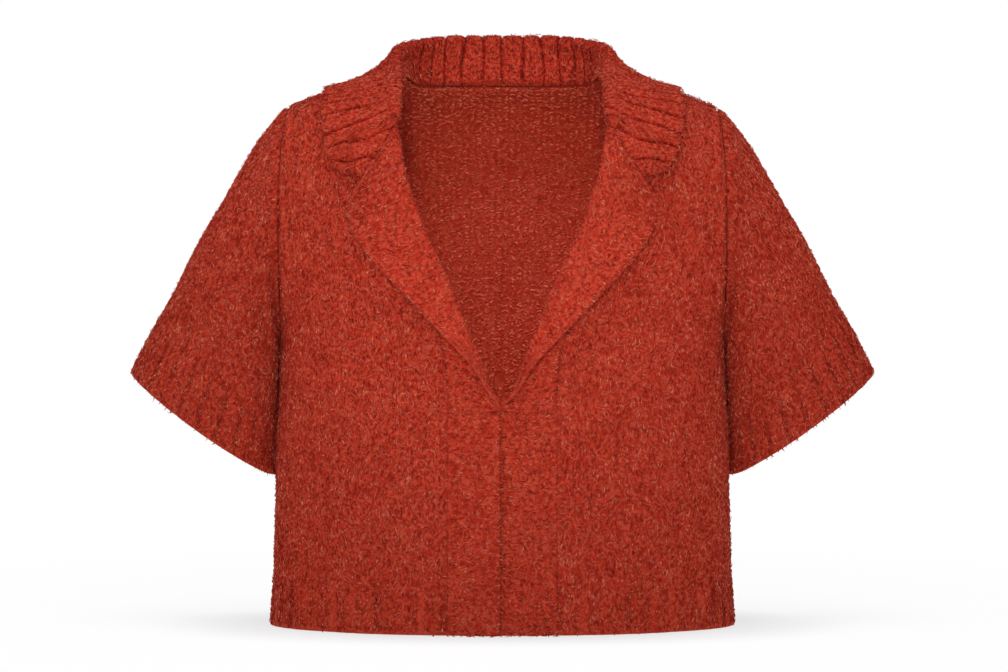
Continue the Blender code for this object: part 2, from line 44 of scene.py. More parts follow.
WALL = 0.003
SEAM_GAP = 0.0003
HEM_Z = -0.531
RIB_BAND = 0.038
UNDERARM_Z = -0.253
SHOULDER_POINT = (0.214, -0.0195)
ARMHOLE_BULGE = 0.0015
FRONT_DEPTH, BACK_DEPTH = 0.106, 0.100
FRONT_ROUND, BACK_ROUND = 0.105, 0.080
CHEST_SPREAD, SPREAD_START = 0.42, 0.030
NECK_POINT_X = 0.097

Curve = namedtuple("Curve", "keys values")
SIDE_SEAM = Curve(
    (-0.531, -0.490, -0.430, -0.378, -0.310, -0.253),
    (0.2275, 0.2262, 0.2240, 0.2226, 0.2202, 0.2190),
)
SHOULDER_LINE = Curve(
    (0.0, 0.060, 0.097, 0.140, 0.177, 0.192, 0.205, 0.214, 0.230),
    (0.0200, 0.0185, 0.0130, 0.0050, -0.0040, -0.0085, -0.0140, -0.0195, -0.0310),
)
BACK_NECKLINE = Curve((0.0, 0.060, 0.085, 0.093, 0.097), (0.0090, 0.0090, 0.0095, 0.0112, 0.0130))
FRONT_EDGE = Curve(
    (-0.531, -0.315, -0.296, -0.262, -0.235, -0.190, -0.157, -0.118, -0.088, -0.062, -0.043,
     -0.012, 0.013),
    (0.0525, 0.0525, 0.0530, 0.0562, 0.0625, 0.0765, 0.0880, 0.0985, 0.1040, 0.1070, 0.1080,
     0.1035, 0.0970),
)


def mix(a, b, share):
    return a + (b - a) * share


def ease(share):
    share = np.clip(share, 0.0, 1.0)
    return share * share * (3.0 - 2.0 * share)


def smooth(curve, at):
    """The smooth curve through its keys, read at many places at once."""
    keys, values = np.asarray(curve.keys, float), np.asarray(curve.values, float)
    at = np.asarray(at, float)
    last = len(keys) - 1
    i = np.clip(np.searchsorted(keys, at, side="left") - 1, 0, last - 1)
    span = keys[i + 1] - keys[i]
    share = (at - keys[i]) / span
    if values.ndim > 1:
        span, share = span[..., None], share[..., None]
    ends = []
    for j in (i, i + 1):
        before, after = np.maximum(j - 1, 0), np.minimum(j + 1, last)
        reach = keys[after] - keys[before]
        reach = reach[..., None] if values.ndim > 1 else reach
        ends.append((values[after] - values[before]) / reach * span)
    squared, cubed = share**2, share**3
    return (
        values[i] * (2 * cubed - 3 * squared + 1)
        + ends[0] * (cubed - 2 * squared + share)
        + values[i + 1] * (3 * squared - 2 * cubed)
        + ends[1] * (cubed - squared)
    )


def half_width(z):
    above = np.maximum(z - UNDERARM_Z, 0.0)
    spread = SIDE_SEAM.values[-1] + CHEST_SPREAD * above * above / (above + SPREAD_START)
    return np.where(z > UNDERARM_Z, spread, smooth(SIDE_SEAM, np.clip(z, HEM_Z, UNDERARM_Z)))


def shoulder_z(x):
    return smooth(SHOULDER_LINE, np.minimum(np.abs(x), SHOULDER_LINE.keys[-1]))


def form_value(p):
    x, y, z = p[..., 0], p[..., 1], p[..., 2]
    depth = np.where(y < 0, FRONT_DEPTH, BACK_DEPTH)
    rounding = np.where(y < 0, FRONT_ROUND, BACK_ROUND)
    drop = np.minimum((shoulder_z(x) - z) / rounding, 1.0)
    across = 1.0 - (x / half_width(z)) ** 2
    return (y / depth) ** 2 - across * (2.0 * drop - drop * drop)


def form_slope(p):
    step = 1e-5
    sides = []
    for axis in range(3):
        move = np.zeros(3)
        move[axis] = step
        sides.append((form_value(p + move) - form_value(p - move)) / (2 * step))
    return np.stack(sides, -1)


def unit(v):
    return v / np.maximum(np.linalg.norm(v, axis=-1, keepdims=True), 1e-12)


def form_point(x, z, face):
    """The form's points at x and z, on the front (face -1) or on the back (face 1)."""
    x, z = np.broadcast_arrays(np.asarray(x, float), np.asarray(z, float))
    at = np.stack([x, np.full_like(x, 0.0 if face > 0 else -1e-12), z], -1)
    depth = BACK_DEPTH if face > 0 else FRONT_DEPTH
    y = face * depth * np.sqrt(np.maximum(-form_value(at), 0.0))
    return np.stack([x, y, z], -1)


def settle(p, height):
    """Moves points along the form's outward direction until they lie at a height over it."""
    for _ in range(4):
        slope = form_slope(p)
        size = np.linalg.norm(slope, axis=-1, keepdims=True)
        now = form_value(p)[..., None] / size
        p = p + slope / size * (np.asarray(height)[..., None] - now)
    return p


def lift(p, height):
    """Moves points out to a height over the form, where they are not already as far out."""
    slope = form_slope(p)
    now = form_value(p) / np.linalg.norm(slope, axis=-1)
    return np.where((now >= height)[..., None], p, settle(p, np.full(now.shape, height)))


SWELL_HEIGHT = 0.0009
DRAPE_DEPTH = 0.0016  # of the soft hollow down each side, under the arm
DRAPE_X, DRAPE_WIDTH = 0.178, 0.020
SIDES_APART = 0.7  # the shift between the waves of the two sides, so that they don't mirror


def swell(p):
    """How far soft unevenness lifts the cloth, read from a point's place, so seams stay shut."""
    x, y, z = p[..., 0], p[..., 1], p[..., 2]
    side = np.sign(x) * SIDES_APART
    wave = np.sin(31 * x + 17 * z + 1.3 + side) * np.sin(13 * z - 9 * x + 0.4)
    wave += 0.6 * np.sin(47 * x - 38 * z + 23 * y) * np.sin(29 * z + 11 * y + 2.1)
    from_drape = (np.abs(x) - DRAPE_X - 0.06 * (z + 0.40)) / DRAPE_WIDTH
    drape = np.exp(-(from_drape**2)) * ease((-0.27 - z) / 0.12)
    return SWELL_HEIGHT * wave - DRAPE_DEPTH * drape * (0.75 + 0.25 * np.sin(21 * z))


# A knitted cloth is one grid of points on its hollow side, with an outside raised from it. Its
# UV map is the cut in metres: u across the wales and v along them.


def grid_normals(grid, closed):
    """Outward directions of a grid whose columns and rows turn right-handed about them."""
    if closed:
        around = np.roll(grid, -1, 1) - np.roll(grid, 1, 1)
    else:
        around = np.gradient(grid, axis=1)
    return unit(np.cross(around, np.gradient(grid, axis=0)))


def mesh_piece(name, points, faces, material, uv=None, tone=None):
    """A finished object at the origin from arrays of points and faces."""
    data = bpy.data.meshes.new(name)
    data.from_pydata(points.tolist(), [], faces.tolist())
    if uv is not None:
        layer = data.uv_layers.new(name="cut")
        corners = np.asarray(faces).reshape(-1)
        layer.data.foreach_set("uv", uv[corners].astype(np.float32).reshape(-1))
    if tone is not None:
        tones = data.attributes.new("tone", "FLOAT", "POINT")
        tones.data.foreach_set("value", tone.astype(np.float32))
    data.shade_smooth()
    data.materials.append(material)
    piece = bpy.data.objects.new(name, data)
    bpy.context.scene.collection.objects.link(piece)
    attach(piece, "root")
    return piece


def cloth(name, inner, outer, closed, material, tone=None):
    """A closed wall between the two skins of a knit, with its cut as a UV map in metres."""
    rows, columns = inner.shape[:2]
    across = np.linalg.norm(np.diff(inner, axis=1), axis=-1).mean(0)
    along = np.linalg.norm(np.diff(inner, axis=0), axis=-1).mean(1)
    u = np.concatenate([[0.0], np.cumsum(across)])
    v = np.concatenate([[0.0], np.cumsum(along)])
    uv = np.stack(np.meshgrid(u, v), -1).reshape(-1, 2)
    points = np.concatenate([outer.reshape(-1, 3), inner.reshape(-1, 3)])
    index = np.arange(rows * columns).reshape(rows, columns)
    if closed:
        index = np.concatenate([index, index[:, :1]], 1)
    a, b, c, d = index[:-1, :-1], index[:-1, 1:], index[1:, 1:], index[1:, :-1]
    skin = np.stack([a, b, c, d], -1).reshape(-1, 4)
    under = rows * columns
    faces = [skin, skin[:, ::-1] + under]
    rims = [(index[0, 1:], index[0, :-1]), (index[-1, :-1], index[-1, 1:])]
    if not closed:
        rims += [(index[:-1, 0], index[1:, 0]), (index[1:, -1], index[:-1, -1])]
    for near, far in rims:
        faces.append(np.stack([near, far, far + under, near + under], -1))
    if tone is not None:
        tone = np.concatenate([tone.reshape(-1), np.ones(tone.size)])
    return mesh_piece(
        name, points, np.concatenate(faces), material, uv=np.concatenate([uv, uv]), tone=tone
    )


# The yarn is a brushed wool, brick red with orange and dark red fibres in its twist. One small
# class writes its shaders as sums and products of sockets.

SHEEN = 0.06
SHEEN_TINT = (1.0, 0.46, 0.36, 1.0)
# Painted shade: the dark red that the ribbed ground takes in the collar's grooves.
GROOVE_SHADOW_RED = (0.130, 0.0050, 0.0020, 1.0)
DARK_RED = (0.240, 0.0080, 0.0026, 1.0)
DEEP_RED = (0.360, 0.0150, 0.0048, 1.0)
BRICK_RED = (0.430, 0.0290, 0.0115, 1.0)
WARM_RED = (0.520, 0.0720, 0.0370, 1.0)
PALE_ORANGE = (0.700, 0.1800, 0.1050, 1.0)
CURL_SIZE = 75.0  # of the soft hills whose contours are the curls, in hills a metre
CURL_LINES = 14.0
GROOVE_SHADE = 0.48  # painted shade: how far down its tones the ground is painted in a collar groove
SPECK_SHARE, CURL_SHARE = 0.55, 0.40  # of the ground's tone
YARN_CURLS, YARN_PATCHES = 0.50, 0.35  # how far curls and broad patches shift a strand's tone


class Wire:
    """A shader socket that can be added, multiplied and taken away from."""

    def __init__(self, tree, socket):
        self.tree, self.socket = tree, socket

    def maths(self, operation, a, b):
        return node(self.tree, "ShaderNodeMath", {"operation": operation}, {0: a, 1: b})

    def __add__(self, other):
        return self.maths("ADD", self, other)

    def __mul__(self, other):
        return self.maths("MULTIPLY", self, other)

    def __sub__(self, other):
        return self.maths("SUBTRACT", self, other)


def node(tree, kind, settings, inputs, out=0):
    """Adds a node with its settings, then its values and links, and gives one output."""
    made = tree.nodes.new(kind)
    for name, value in settings.items():
        if name == "stops":
            ramp = made.color_ramp
            ramp.elements[0].position, ramp.elements[1].position = value[0][0], value[-1][0]
            ramp.elements[0].color, ramp.elements[1].color = value[0][1], value[-1][1]
            for place, colour in value[1:-1]:
                ramp.elements.new(place).color = colour
        else:
            setattr(made, name, value)
    for name, value in inputs.items():
        if isinstance(value, Wire):
            tree.links.new(value.socket, made.inputs[name])
        else:
            made.inputs[name].default_value = value
    return Wire(tree, made.outputs[out])


def new_material(name):
    material = bpy.data.materials.new(name)
    material.use_nodes = True
    tree = material.node_tree
    shader = tree.nodes["Principled BSDF"]
    return material, tree, shader


def wool_shader(tree, shader, colour, bump):
    """Finishes a wool surface: matt, with the pale bloom of its fibres at grazing angles."""
    tree.links.new(colour.socket, shader.inputs["Base Color"])
    shader.inputs["Roughness"].default_value = 0.92
    shader.inputs["Specular IOR Level"].default_value = 0.15
    shader.inputs["Sheen Weight"].default_value = SHEEN
    shader.inputs["Sheen Roughness"].default_value = 0.45
    shader.inputs["Sheen Tint"].default_value = SHEEN_TINT
    tree.links.new(bump.socket, shader.inputs["Normal"])


def noise(tree, vector, scale, detail=2.0, rough=0.55):
    return node(
        tree, "ShaderNodeTexNoise", {},
        {"Vector": vector, "Scale": scale, "Detail": detail, "Roughness": rough},
    )


def place(tree):
    return node(tree, "ShaderNodeTexCoord", {}, {}, out="Object")


def curls(tree, vector):
    """Thin wavy lines, as brushed fibres lie: the contours of soft hills, from 0 to 1."""
    hills = noise(tree, vector, CURL_SIZE, 2.0, 0.5)
    return node(tree, "ShaderNodeMath", {"operation": "PINGPONG"}, {0: hills * CURL_LINES, 1: 1.0})


def make_ground(name, stops, ribbed=False):
    """The cloth behind its stitches, with purl rows on its hollow side. Where it is ribbed, its
    tone attribute is 0 in a groove and 1 on a crest, and the grooves are painted darker as painted
    shade."""
    material, tree, shader = new_material(name)
    here = place(tree)
    speck = noise(tree, here, 420.0, 3.0, 0.7)
    shade = speck * SPECK_SHARE + curls(tree, here) * CURL_SHARE
    if ribbed:
        # Painted shade: the ground is darkened in the grooves of the ribs.
        crest = node(tree, "ShaderNodeAttribute", {"attribute_name": "tone"}, {}, out="Fac")
        shade = shade + crest * GROOVE_SHADE - GROOVE_SHADE
    colour = node(tree, "ShaderNodeValToRGB", {"stops": stops}, {"Fac": shade})
    cut = node(tree, "ShaderNodeUVMap", {"uv_map": "cut"}, {})
    wavy = node(
        tree, "ShaderNodeTexWave", {"wave_type": "BANDS", "bands_direction": "Y"},
        {"Vector": cut, "Scale": 32.0, "Distortion": 3.0, "Detail": 1.0, "Detail Scale": 2.5},
    )
    fuzz = noise(tree, here, 900.0, 2.0, 0.6)
    height = wavy * 0.6 + fuzz * 0.5
    bump = node(tree, "ShaderNodeBump", {}, {"Strength": 0.9, "Distance": 0.0012, "Height": height})
    wool_shader(tree, shader, colour, bump)
    return material


def make_yarn(name, stops, fleck):
    """Stitches and loose fibres: each has its own tone, and flecks run through all of them."""
    material, tree, shader = new_material(name)
    here = place(tree)
    tone = node(tree, "ShaderNodeAttribute", {"attribute_name": "tone"}, {}, out="Fac")
    speck = noise(tree, here, 520.0, 3.0, 0.7)
    patch = noise(tree, here, 34.0, 2.0, 0.5)
    share = tone * (1.0 - fleck) + speck * fleck + (patch - 0.5) * YARN_PATCHES
    share = share + (curls(tree, here) - 0.5) * YARN_CURLS
    colour = node(tree, "ShaderNodeValToRGB", {"stops": stops}, {"Fac": share})
    fine = noise(tree, here, 1500.0, 2.0, 0.6)
    bump = node(tree, "ShaderNodeBump", {}, {"Strength": 0.6, "Distance": 0.0006, "Height": fine})
    wool_shader(tree, shader, colour, bump)
    return material


GROUND = make_ground("ground_knit", [(0.15, DEEP_RED), (0.45, BRICK_RED), (0.80, WARM_RED)])
RIB_GROUND = make_ground(
    "rib_ground",
    [(0.0, GROOVE_SHADOW_RED), (0.20, DEEP_RED), (0.45, BRICK_RED), (0.80, WARM_RED)],
    ribbed=True,
)
YARN_TONES = [
    (0.12, DARK_RED), (0.32, DEEP_RED), (0.52, BRICK_RED), (0.72, WARM_RED), (0.92, PALE_ORANGE)
]
STITCH_YARN = make_yarn("stitch_yarn", YARN_TONES, 0.30)
# Painted light: the purl yarn is painted lighter than the outside's, to stand in for the light that
# little reaches into the open neck.
PURL_TONES_PAINTED_LIGHT = [
    (0.14, DEEP_RED), (0.34, (0.560, 0.0440, 0.0170, 1.0)), (0.60, (0.720, 0.0950, 0.0450, 1.0)),
    (0.92, (0.880, 0.1900, 0.1050, 1.0)),
]
PURL_YARN_PAINTED_LIGHT = make_yarn("purl_yarn_painted_light", PURL_TONES_PAINTED_LIGHT, 0.30)
LOOSE_YARN = make_yarn("loose_yarn", YARN_TONES, 0.20)


# The stitches. A knit stitch shows two legs in a V on its outside and one low arc on its inside.
# Each leg is two short spindles, since brushing has loosened it, and a panel's are one mesh.

COURSE = 0.0054  # height of a stitch
WALE = 0.0068  # width of a stitch
STRAND_LENGTH = 0.0086
STRAND_WIDTH = 0.0015
STRAND_HEIGHT = 0.0008
LEG_LEAN = 0.22
STRAND_SINK = 0.0004  # of a strand's ends into the cloth
LEG_OFFSET, STRAND_OFFSET = 0.25, 0.11  # from the middle of the wale, in wales
LOOSE_ACROSS, LOOSE_ALONG, LOOSE_BOW = 0.0006, 0.0014, 0.10  # how far brushing moves a strand
STITCH_TONE, STITCH_VARIES, STRAND_VARIES = 0.50, 0.08, 0.17
RIDGE_PAINTED_LIGHT = 0.10  # painted highlight and shade: how much lighter a strand is painted along its ridge than at its sides
FIBRE_LIFT, FIBRE_SINK = 0.0010, 0.0002
FIBRE_TURN, FIBRE_BOW = 0.9, 0.30
FIBRE_TONE, FIBRE_VARIES = 0.66, 0.20
STRAY_WIDTH, STRAY_RISE = 0.00042, 0.5
rng = np.random.default_rng(7)


def spindles(centre, along, across, outward, length, width, height, bow, sink, rings):
    """Closed three-sided strands with pointed ends. bow bends them sideways, as shares of length,
    and their middle stands out by height over their ends, which are sunk in."""
    n = len(centre)
    stations = np.linspace(-1, 1, rings + 2)
    points = []
    for k, t in enumerate(stations):
        middle = centre + along * (length * t / 2)[:, None]
        middle = middle + across * (bow * length * (1 - t * t))[:, None]
        middle = middle + outward * (height * (1 - t * t) - sink)[:, None]
        if k in (0, len(stations) - 1):
            points.append(middle[:, None])
            continue
        fat = (width / 2)[:, None] * math.sqrt(1 - 0.75 * t * t)
        ridge = middle + outward * fat * 1.1
        points.append(np.stack([middle - across * fat, middle + across * fat, ridge], 1))
    points = np.concatenate(points, 1)
    count = points.shape[1]
    faces = [(0, 2, 1), (0, 3, 2), (0, 1, 3)]
    for k in range(rings - 1):
        a = 1 + 3 * k
        for i in range(3):
            p, q = a + i, a + (i + 1) % 3
            faces += [(p, q, q + 3), (p, q + 3, p + 3)]
    a, tip = 1 + 3 * (rings - 1), count - 1
    faces += [(tip, a, a + 1), (tip, a + 1, a + 2), (tip, a + 2, a)]
    faces = np.array(faces)[None] + (np.arange(n) * count)[:, None, None]
    # Painted highlight and shade: the ridge point is lighter and the two side points darker.
    shade = np.array([0.0] + [-1.0, -1.0, 1.0] * rings + [0.0]) * RIDGE_PAINTED_LIGHT
    return points.reshape(-1, 3), faces.reshape(-1, 3), shade


def strand_tones(tones, shade):
    """Every point's tone: its strand's own, with a painted highlight along the ridge and painted
    shade at the sides.
    """
    return (tones[:, None] + shade[None, :]).reshape(-1)


def knit_strands(name, centre, along, across, outward, shaded=0.0, scale=1.0, tangle=0.28):
    """The stitches of a panel: two legs in a V, each of two strands that brushing has loosened."""
    n = len(centre)
    points, faces, tones, start = [], [], [], 0
    # Painted shade: shaded takes that much off a stitch's tone.
    stitch_tone = rng.normal(STITCH_TONE, STITCH_VARIES, n) - shaded
    for leg, strand in ((-1, -1), (-1, 1), (1, -1), (1, 1)):
        lean = leg * LEG_LEAN + rng.normal(0, tangle, n)
        direction = unit(along + across * lean[:, None])
        sideways = unit(np.cross(outward, direction))
        beside = (leg * LEG_OFFSET + strand * STRAND_OFFSET) * WALE * scale
        beside = beside + rng.normal(0, LOOSE_ACROSS, n)
        base = centre + across * beside[:, None] + along * rng.normal(0, LOOSE_ALONG, n)[:, None]
        p, f, shade = spindles(
            base, direction, sideways, outward,
            STRAND_LENGTH * rng.uniform(0.55, 1.25, n) * scale,
            STRAND_WIDTH * rng.uniform(0.65, 1.35, n) * scale,
            STRAND_HEIGHT * rng.uniform(0.2, 1.3, n),
            rng.normal(0, LOOSE_BOW, n), np.full(n, STRAND_SINK), 1,
        )
        points.append(p)
        faces.append(f + start)
        start += len(p)
        tones.append(strand_tones(stitch_tone + rng.normal(0, STRAND_VARIES, n), shade))
    return mesh_piece(
        name, np.concatenate(points), np.concatenate(faces), STITCH_YARN, tone=np.concatenate(tones)
    )


def loose_fibres(name, centre, along, across, outward, share, stray):
    """Curled fibres on the cloth: a share of the stitches has one, and stray ones stand off it."""
    n = int(len(centre) * share)
    pick = rng.permutation(len(centre))[:n]
    centre, along, across, outward = centre[pick], along[pick], across[pick], outward[pick]
    turn = rng.normal(0, FIBRE_TURN, n)
    direction = unit(along * np.cos(turn)[:, None] + across * np.sin(turn)[:, None])
    lifted = rng.random(n) < stray
    direction = np.where(lifted[:, None], unit(direction + outward * STRAY_RISE), direction)
    sideways = unit(np.cross(outward, direction))
    shift = along * rng.uniform(-0.5, 0.5, n)[:, None] * COURSE
    shift = shift + across * rng.uniform(-0.5, 0.5, n)[:, None] * WALE
    base = centre + shift + outward * FIBRE_LIFT
    width = np.where(lifted, STRAY_WIDTH, rng.uniform(0.0007, 0.0011, n))
    p, f, shade = spindles(
        base, direction, sideways, unit(outward), rng.uniform(0.003, 0.0085, n), width,
        rng.uniform(0.0001, 0.0010, n), rng.normal(0, FIBRE_BOW, n), np.full(n, FIBRE_SINK), 2,
    )
    tones = strand_tones(np.clip(rng.normal(FIBRE_TONE, FIBRE_VARIES, n), 0, 1), shade)
    return mesh_piece(name, p, f, LOOSE_YARN, tone=tones)


def dress(node_name, skin, stitches, flat, area, held="draped", fuzz=0.45, stray=0.18, scale=1.0,
          tangle=0.28, shaded=0.0, extra=()):
    slot = "rib_knit" if node_name == "collar" else "knit"
    legs = knit_strands(
        f"{node_name}_stitches", *stitches, shaded=shaded, scale=scale, tangle=tangle
    )
    fibres = loose_fibres(f"{node_name}_fibres", *stitches, share=fuzz, stray=stray)
    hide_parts(node_name)


# The body panels: a back from side seam to side seam and two fronts. The hem is ribbed, the
# armhole edge is a soft welt where the sleeve is sewn in, and the shoulders round back.

HEM_RIB_RISE = 0.0013
WELT_RISE = 0.0016
WELT_AT, WELT_WIDTH = 0.0065, 0.0040  # from the armhole's edge
SEAM_DIP, SEAM_DIP_WIDTH = 0.8, 0.0025  # the dip as a share of the welt
GROOVE_WIDTH = 0.14  # of a rib, on either side of the groove's middle
BARE_GROOVE = 0.08  # of a rib, with no stitches in it
FRONT_RIBS = 12
BACK_RIBS = 28
BACK_SHARE = 0.86  # of the back's stitches that are kept, since its brushed nap hides them
SIDE_MARGIN = 0.002  # from a side seam or an armhole to the nearest stitch
TOP_MARGIN = 0.0005
PURL_SPREAD, PURL_LEAN = 0.0014, 0.45
PURL_WIDTH, PURL_HEIGHT = 0.0018, 0.0009
PURL_TONE, PURL_VARIES = 0.66, 0.14


def armhole_x(z):
    """The armhole's edge at a height above the underarm."""
    share = np.clip((z - UNDERARM_Z) / (SHOULDER_POINT[1] - UNDERARM_Z), 0, 1)
    straight = mix(SIDE_SEAM.values[-1], SHOULDER_POINT[0], share)
    return straight + ARMHOLE_BULGE * np.sin(np.pi * share)


def rib_shape(phase):
    """0 in a groove and 1 on a crest, for a place counted in ribs."""
    from_groove = np.abs(phase - np.round(phase))
    return ease(from_groove / GROOVE_WIDTH)


def hem_rib(x, z, face):
    """The hem ribs' place at a point of the form, counted in ribs, and their share there."""
    angle = np.arcsin(np.clip(np.abs(x) / half_width(z), 0, 1))
    if face > 0:
        phase = angle / (math.pi / 2) * (BACK_RIBS / 2)
    else:
        first = np.arcsin(smooth(FRONT_EDGE, np.clip(z, HEM_Z, 0.013)) / half_width(z))
        phase = (angle - first) / (math.pi / 2 - first) * FRONT_RIBS
    return phase, ease((HEM_Z + RIB_BAND + 0.010 - z) / 0.010)


def body_height(p, face):
    """The outside's height over the form: the wall, its hem ribs, the armhole's welt."""
    x, z = p[..., 0], p[..., 2]
    phase, share = hem_rib(x, z, face)
    high = WALL + HEM_RIB_RISE * (rib_shape(phase) - 0.35) * share
    inside = (armhole_x(z) - np.abs(x)) * ease((z - UNDERARM_Z) / 0.04)
    welt = np.exp(-(((inside - WELT_AT) / WELT_WIDTH) ** 2))
    welt = welt - SEAM_DIP * np.exp(-((inside / SEAM_DIP_WIDTH) ** 2))
    return high + WELT_RISE * welt * ease((z - UNDERARM_Z - 0.01) / 0.05)


def body_skins(grid, face):
    """A panel's hollow side and its outside, both softly uneven."""
    lifted = swell(grid)
    off_side = np.where(np.abs(grid[..., 1:2]) < 1e-4, grid + [0, face * 1e-4, 0], grid)
    slope = unit(form_slope(off_side))
    inner = grid + slope * lifted[..., None]
    outer = grid + slope * (lifted + body_height(grid, face))[..., None]
    return inner, outer


def row_shares(rows):
    """How far up each row of a panel is, below the underarm and then above it, each 0 to 1."""
    body_part = (UNDERARM_Z - HEM_Z) / (SHOULDER_POINT[1] - HEM_Z)
    up = np.linspace(0, 1, rows)[:, None]
    return np.clip(up / body_part, 0, 1), np.clip((up - body_part) / (1 - body_part), 0, 1)


def front_grid(rows, columns):
    """Points of the front panel on the form, on the +X side, hem first and band seam first."""
    share = np.linspace(0, 1, columns)[None, :]
    below, above = row_shares(rows)
    edge_z = np.where(above > 0, mix(UNDERARM_Z, 0.013, above), mix(HEM_Z, UNDERARM_Z, below))
    outer_z = np.where(above > 0, mix(UNDERARM_Z, SHOULDER_POINT[1], above), edge_z)
    outer_x = np.where(above > 0, armhole_x(outer_z), half_width(outer_z))
    inner_x = smooth(FRONT_EDGE, edge_z)
    around = half_width(outer_z)
    first, last = np.arcsin(inner_x / around), np.arcsin(np.minimum(outer_x / around, 1.0))
    x = around * np.sin(mix(first, last, share))

    def part_up(z, at):
        return (z - UNDERARM_Z) / (shoulder_z(at) - UNDERARM_Z)

    rise = mix(part_up(edge_z, inner_x), part_up(outer_z, outer_x), share)
    z = np.where(above > 0, mix(UNDERARM_Z, shoulder_z(x), rise), mix(edge_z, outer_z, share))
    return form_point(x, z, -1)


def back_top(x):
    x = np.abs(x)
    neckline = smooth(BACK_NECKLINE, np.minimum(x, NECK_POINT_X))
    return np.where(x < NECK_POINT_X, neckline, shoulder_z(x))


def back_grid(rows, columns):
    """Points of the back on the form, from the wearer's right side seam to the left one."""
    share = np.linspace(-1, 1, columns)[None, :]
    below, above = row_shares(rows)
    low_z = mix(HEM_Z, UNDERARM_Z, below)
    outer_z = mix(UNDERARM_Z, SHOULDER_POINT[1], above)
    outer_x = armhole_x(outer_z)
    around = half_width(outer_z)
    x_wide = around * np.sin(np.arcsin(np.minimum(outer_x / around, 1.0)) * share)
    x_top = outer_x * share
    x_above = mix(x_wide, x_top, ease(above))
    x = np.where(above > 0, x_above, half_width(low_z) * np.sin(math.pi / 2 * share))
    side_up = (outer_z - UNDERARM_Z) / (shoulder_z(outer_x) - UNDERARM_Z)
    rise = mix(above, side_up, np.abs(share))
    z = np.where(above > 0, mix(UNDERARM_Z, back_top(x), rise), low_z + 0 * x)
    return form_point(x, z, 1)


def chain(points):
    """How far along a line each of its points is."""
    return np.concatenate([[0], np.cumsum(np.linalg.norm(np.diff(points, axis=0), axis=1))])


def course_places(length, wale, start=0.42):
    """Distances of a wale's stitches along it. Every other wale is half a stitch further on."""
    first = start * STRAND_LENGTH
    count = max(int(round((length - 2 * first) / COURSE)), 1)
    even = np.linspace(first, length - first, count + 1)
    even[1:-1] += COURSE * (0.5 * (wale % 2) - 0.25 + rng.normal(0, 0.16, count - 1))
    return even


def body_stitches(face, low, high, top):
    """Places and directions of the stitches of a body panel. Wales run straight up, COURSE by
    COURSE, where the panel is: from low to high across it and up to its top."""
    levels = np.arange(HEM_Z + 0.0015, 0.024, 0.0015)
    depth = BACK_DEPTH if face > 0 else FRONT_DEPTH
    angles = np.linspace(0, math.pi / 2, 160)
    arcs, xs = [], []
    for a in half_width(levels):
        x, y = a * np.sin(angles), depth * np.cos(angles)
        arcs.append(np.concatenate([[0], np.cumsum(np.hypot(np.diff(x), np.diff(y)))]))
        xs.append(x)
    reach = np.array([arc[-1] for arc in arcs])
    places = []
    for wale in np.arange(0.5, 48) * WALE:
        x = np.array([np.interp(wale, arc, line) for arc, line in zip(arcs, xs)])
        climb = chain(form_point(x, levels, face))
        wanted = course_places(climb[-1], len(places))
        z = np.interp(wanted, climb, levels)
        across = np.interp(wanted, climb, x)
        good = wale < np.interp(z, levels, reach) - SIDE_MARGIN
        good &= (across > low(z)) & (across < high(z)) & (z < top(across))
        places.append(np.stack([across[good], z[good]], -1))
    x, z = np.concatenate(places).T
    if face > 0:
        x, z = np.concatenate([x, -x]), np.concatenate([z, z])
    return x, z


def body_frames(x, z, face):
    """Stitch centres on a body panel's outside, their directions, and which of them to keep."""
    grid = form_point(x, z, face)
    outward = unit(form_slope(grid))
    step = 0.002
    up = unit(form_point(x, z + step, face) - form_point(x, z - step, face))
    up = unit(up - outward * (up * outward).sum(-1, keepdims=True))
    across = unit(np.cross(up, outward))
    phase, share = hem_rib(x, z, face)
    groove = np.abs(phase - np.round(phase)) < BARE_GROOVE
    keep = ~(groove & (share > 0.5))
    height = swell(grid) + body_height(grid, face)
    centre = grid + outward * height[:, None]
    return keep_stitches((centre, up, across, outward), keep)


def keep_stitches(frames, keep):
    return [a[keep] for a in frames]


MIRROR = np.array([-1.0, 1.0, 1.0])


def sew_on_side(name, side, inner, outer, closed, stitches, **sheet):
    """Makes and dresses a panel of the +X side, or its mirror image on the -X side."""
    if side < 0:
        inner, outer = (inner * MIRROR)[:, ::-1], (outer * MIRROR)[:, ::-1]
        stitches = [a * MIRROR for a in stitches]
    dress(name, cloth(f"{name}_cloth", inner, outer, closed, GROUND), stitches, **sheet)


def far_edge(z):
    return np.where(z > UNDERARM_Z, armhole_x(z) - SIDE_MARGIN, 1.0)


back_inner, back_outer = body_skins(back_grid(74, 81), 1)
# The grid runs from the wearer's right to the left, seen from inside, so it is turned outwards.
back = cloth("back_cloth", back_inner[:, ::-1], back_outer[:, ::-1], False, GROUND)
x, z = body_stitches(1, lambda z: z * 0, far_edge, lambda x: back_top(x) - TOP_MARGIN)
back_frames = body_frames(x, z, 1)
back_frames = keep_stitches(back_frames, rng.random(len(back_frames[0])) < BACK_SHARE)
inside = form_point(x, z, 1)
inside_out = -unit(form_slope(inside))
inside = inside + inside_out * (-swell(inside))[:, None]
seam_x = np.linspace(-NECK_POINT_X, NECK_POINT_X, 60)
over_seam = form_point(seam_x, back_top(seam_x) - 0.0012, 1)
inside = np.concatenate([inside, over_seam])
inside_out = np.concatenate([inside_out, -unit(form_slope(over_seam))])
inside = np.repeat(inside, 3, 0) + rng.normal(0, PURL_SPREAD, (3 * len(inside), 3))
inside_out = np.repeat(inside_out, 3, 0)
n = len(inside)
rows_across = unit(np.cross(np.array([0, 0, 1.0]), inside_out))
uprights = unit(np.cross(inside_out, rows_across))
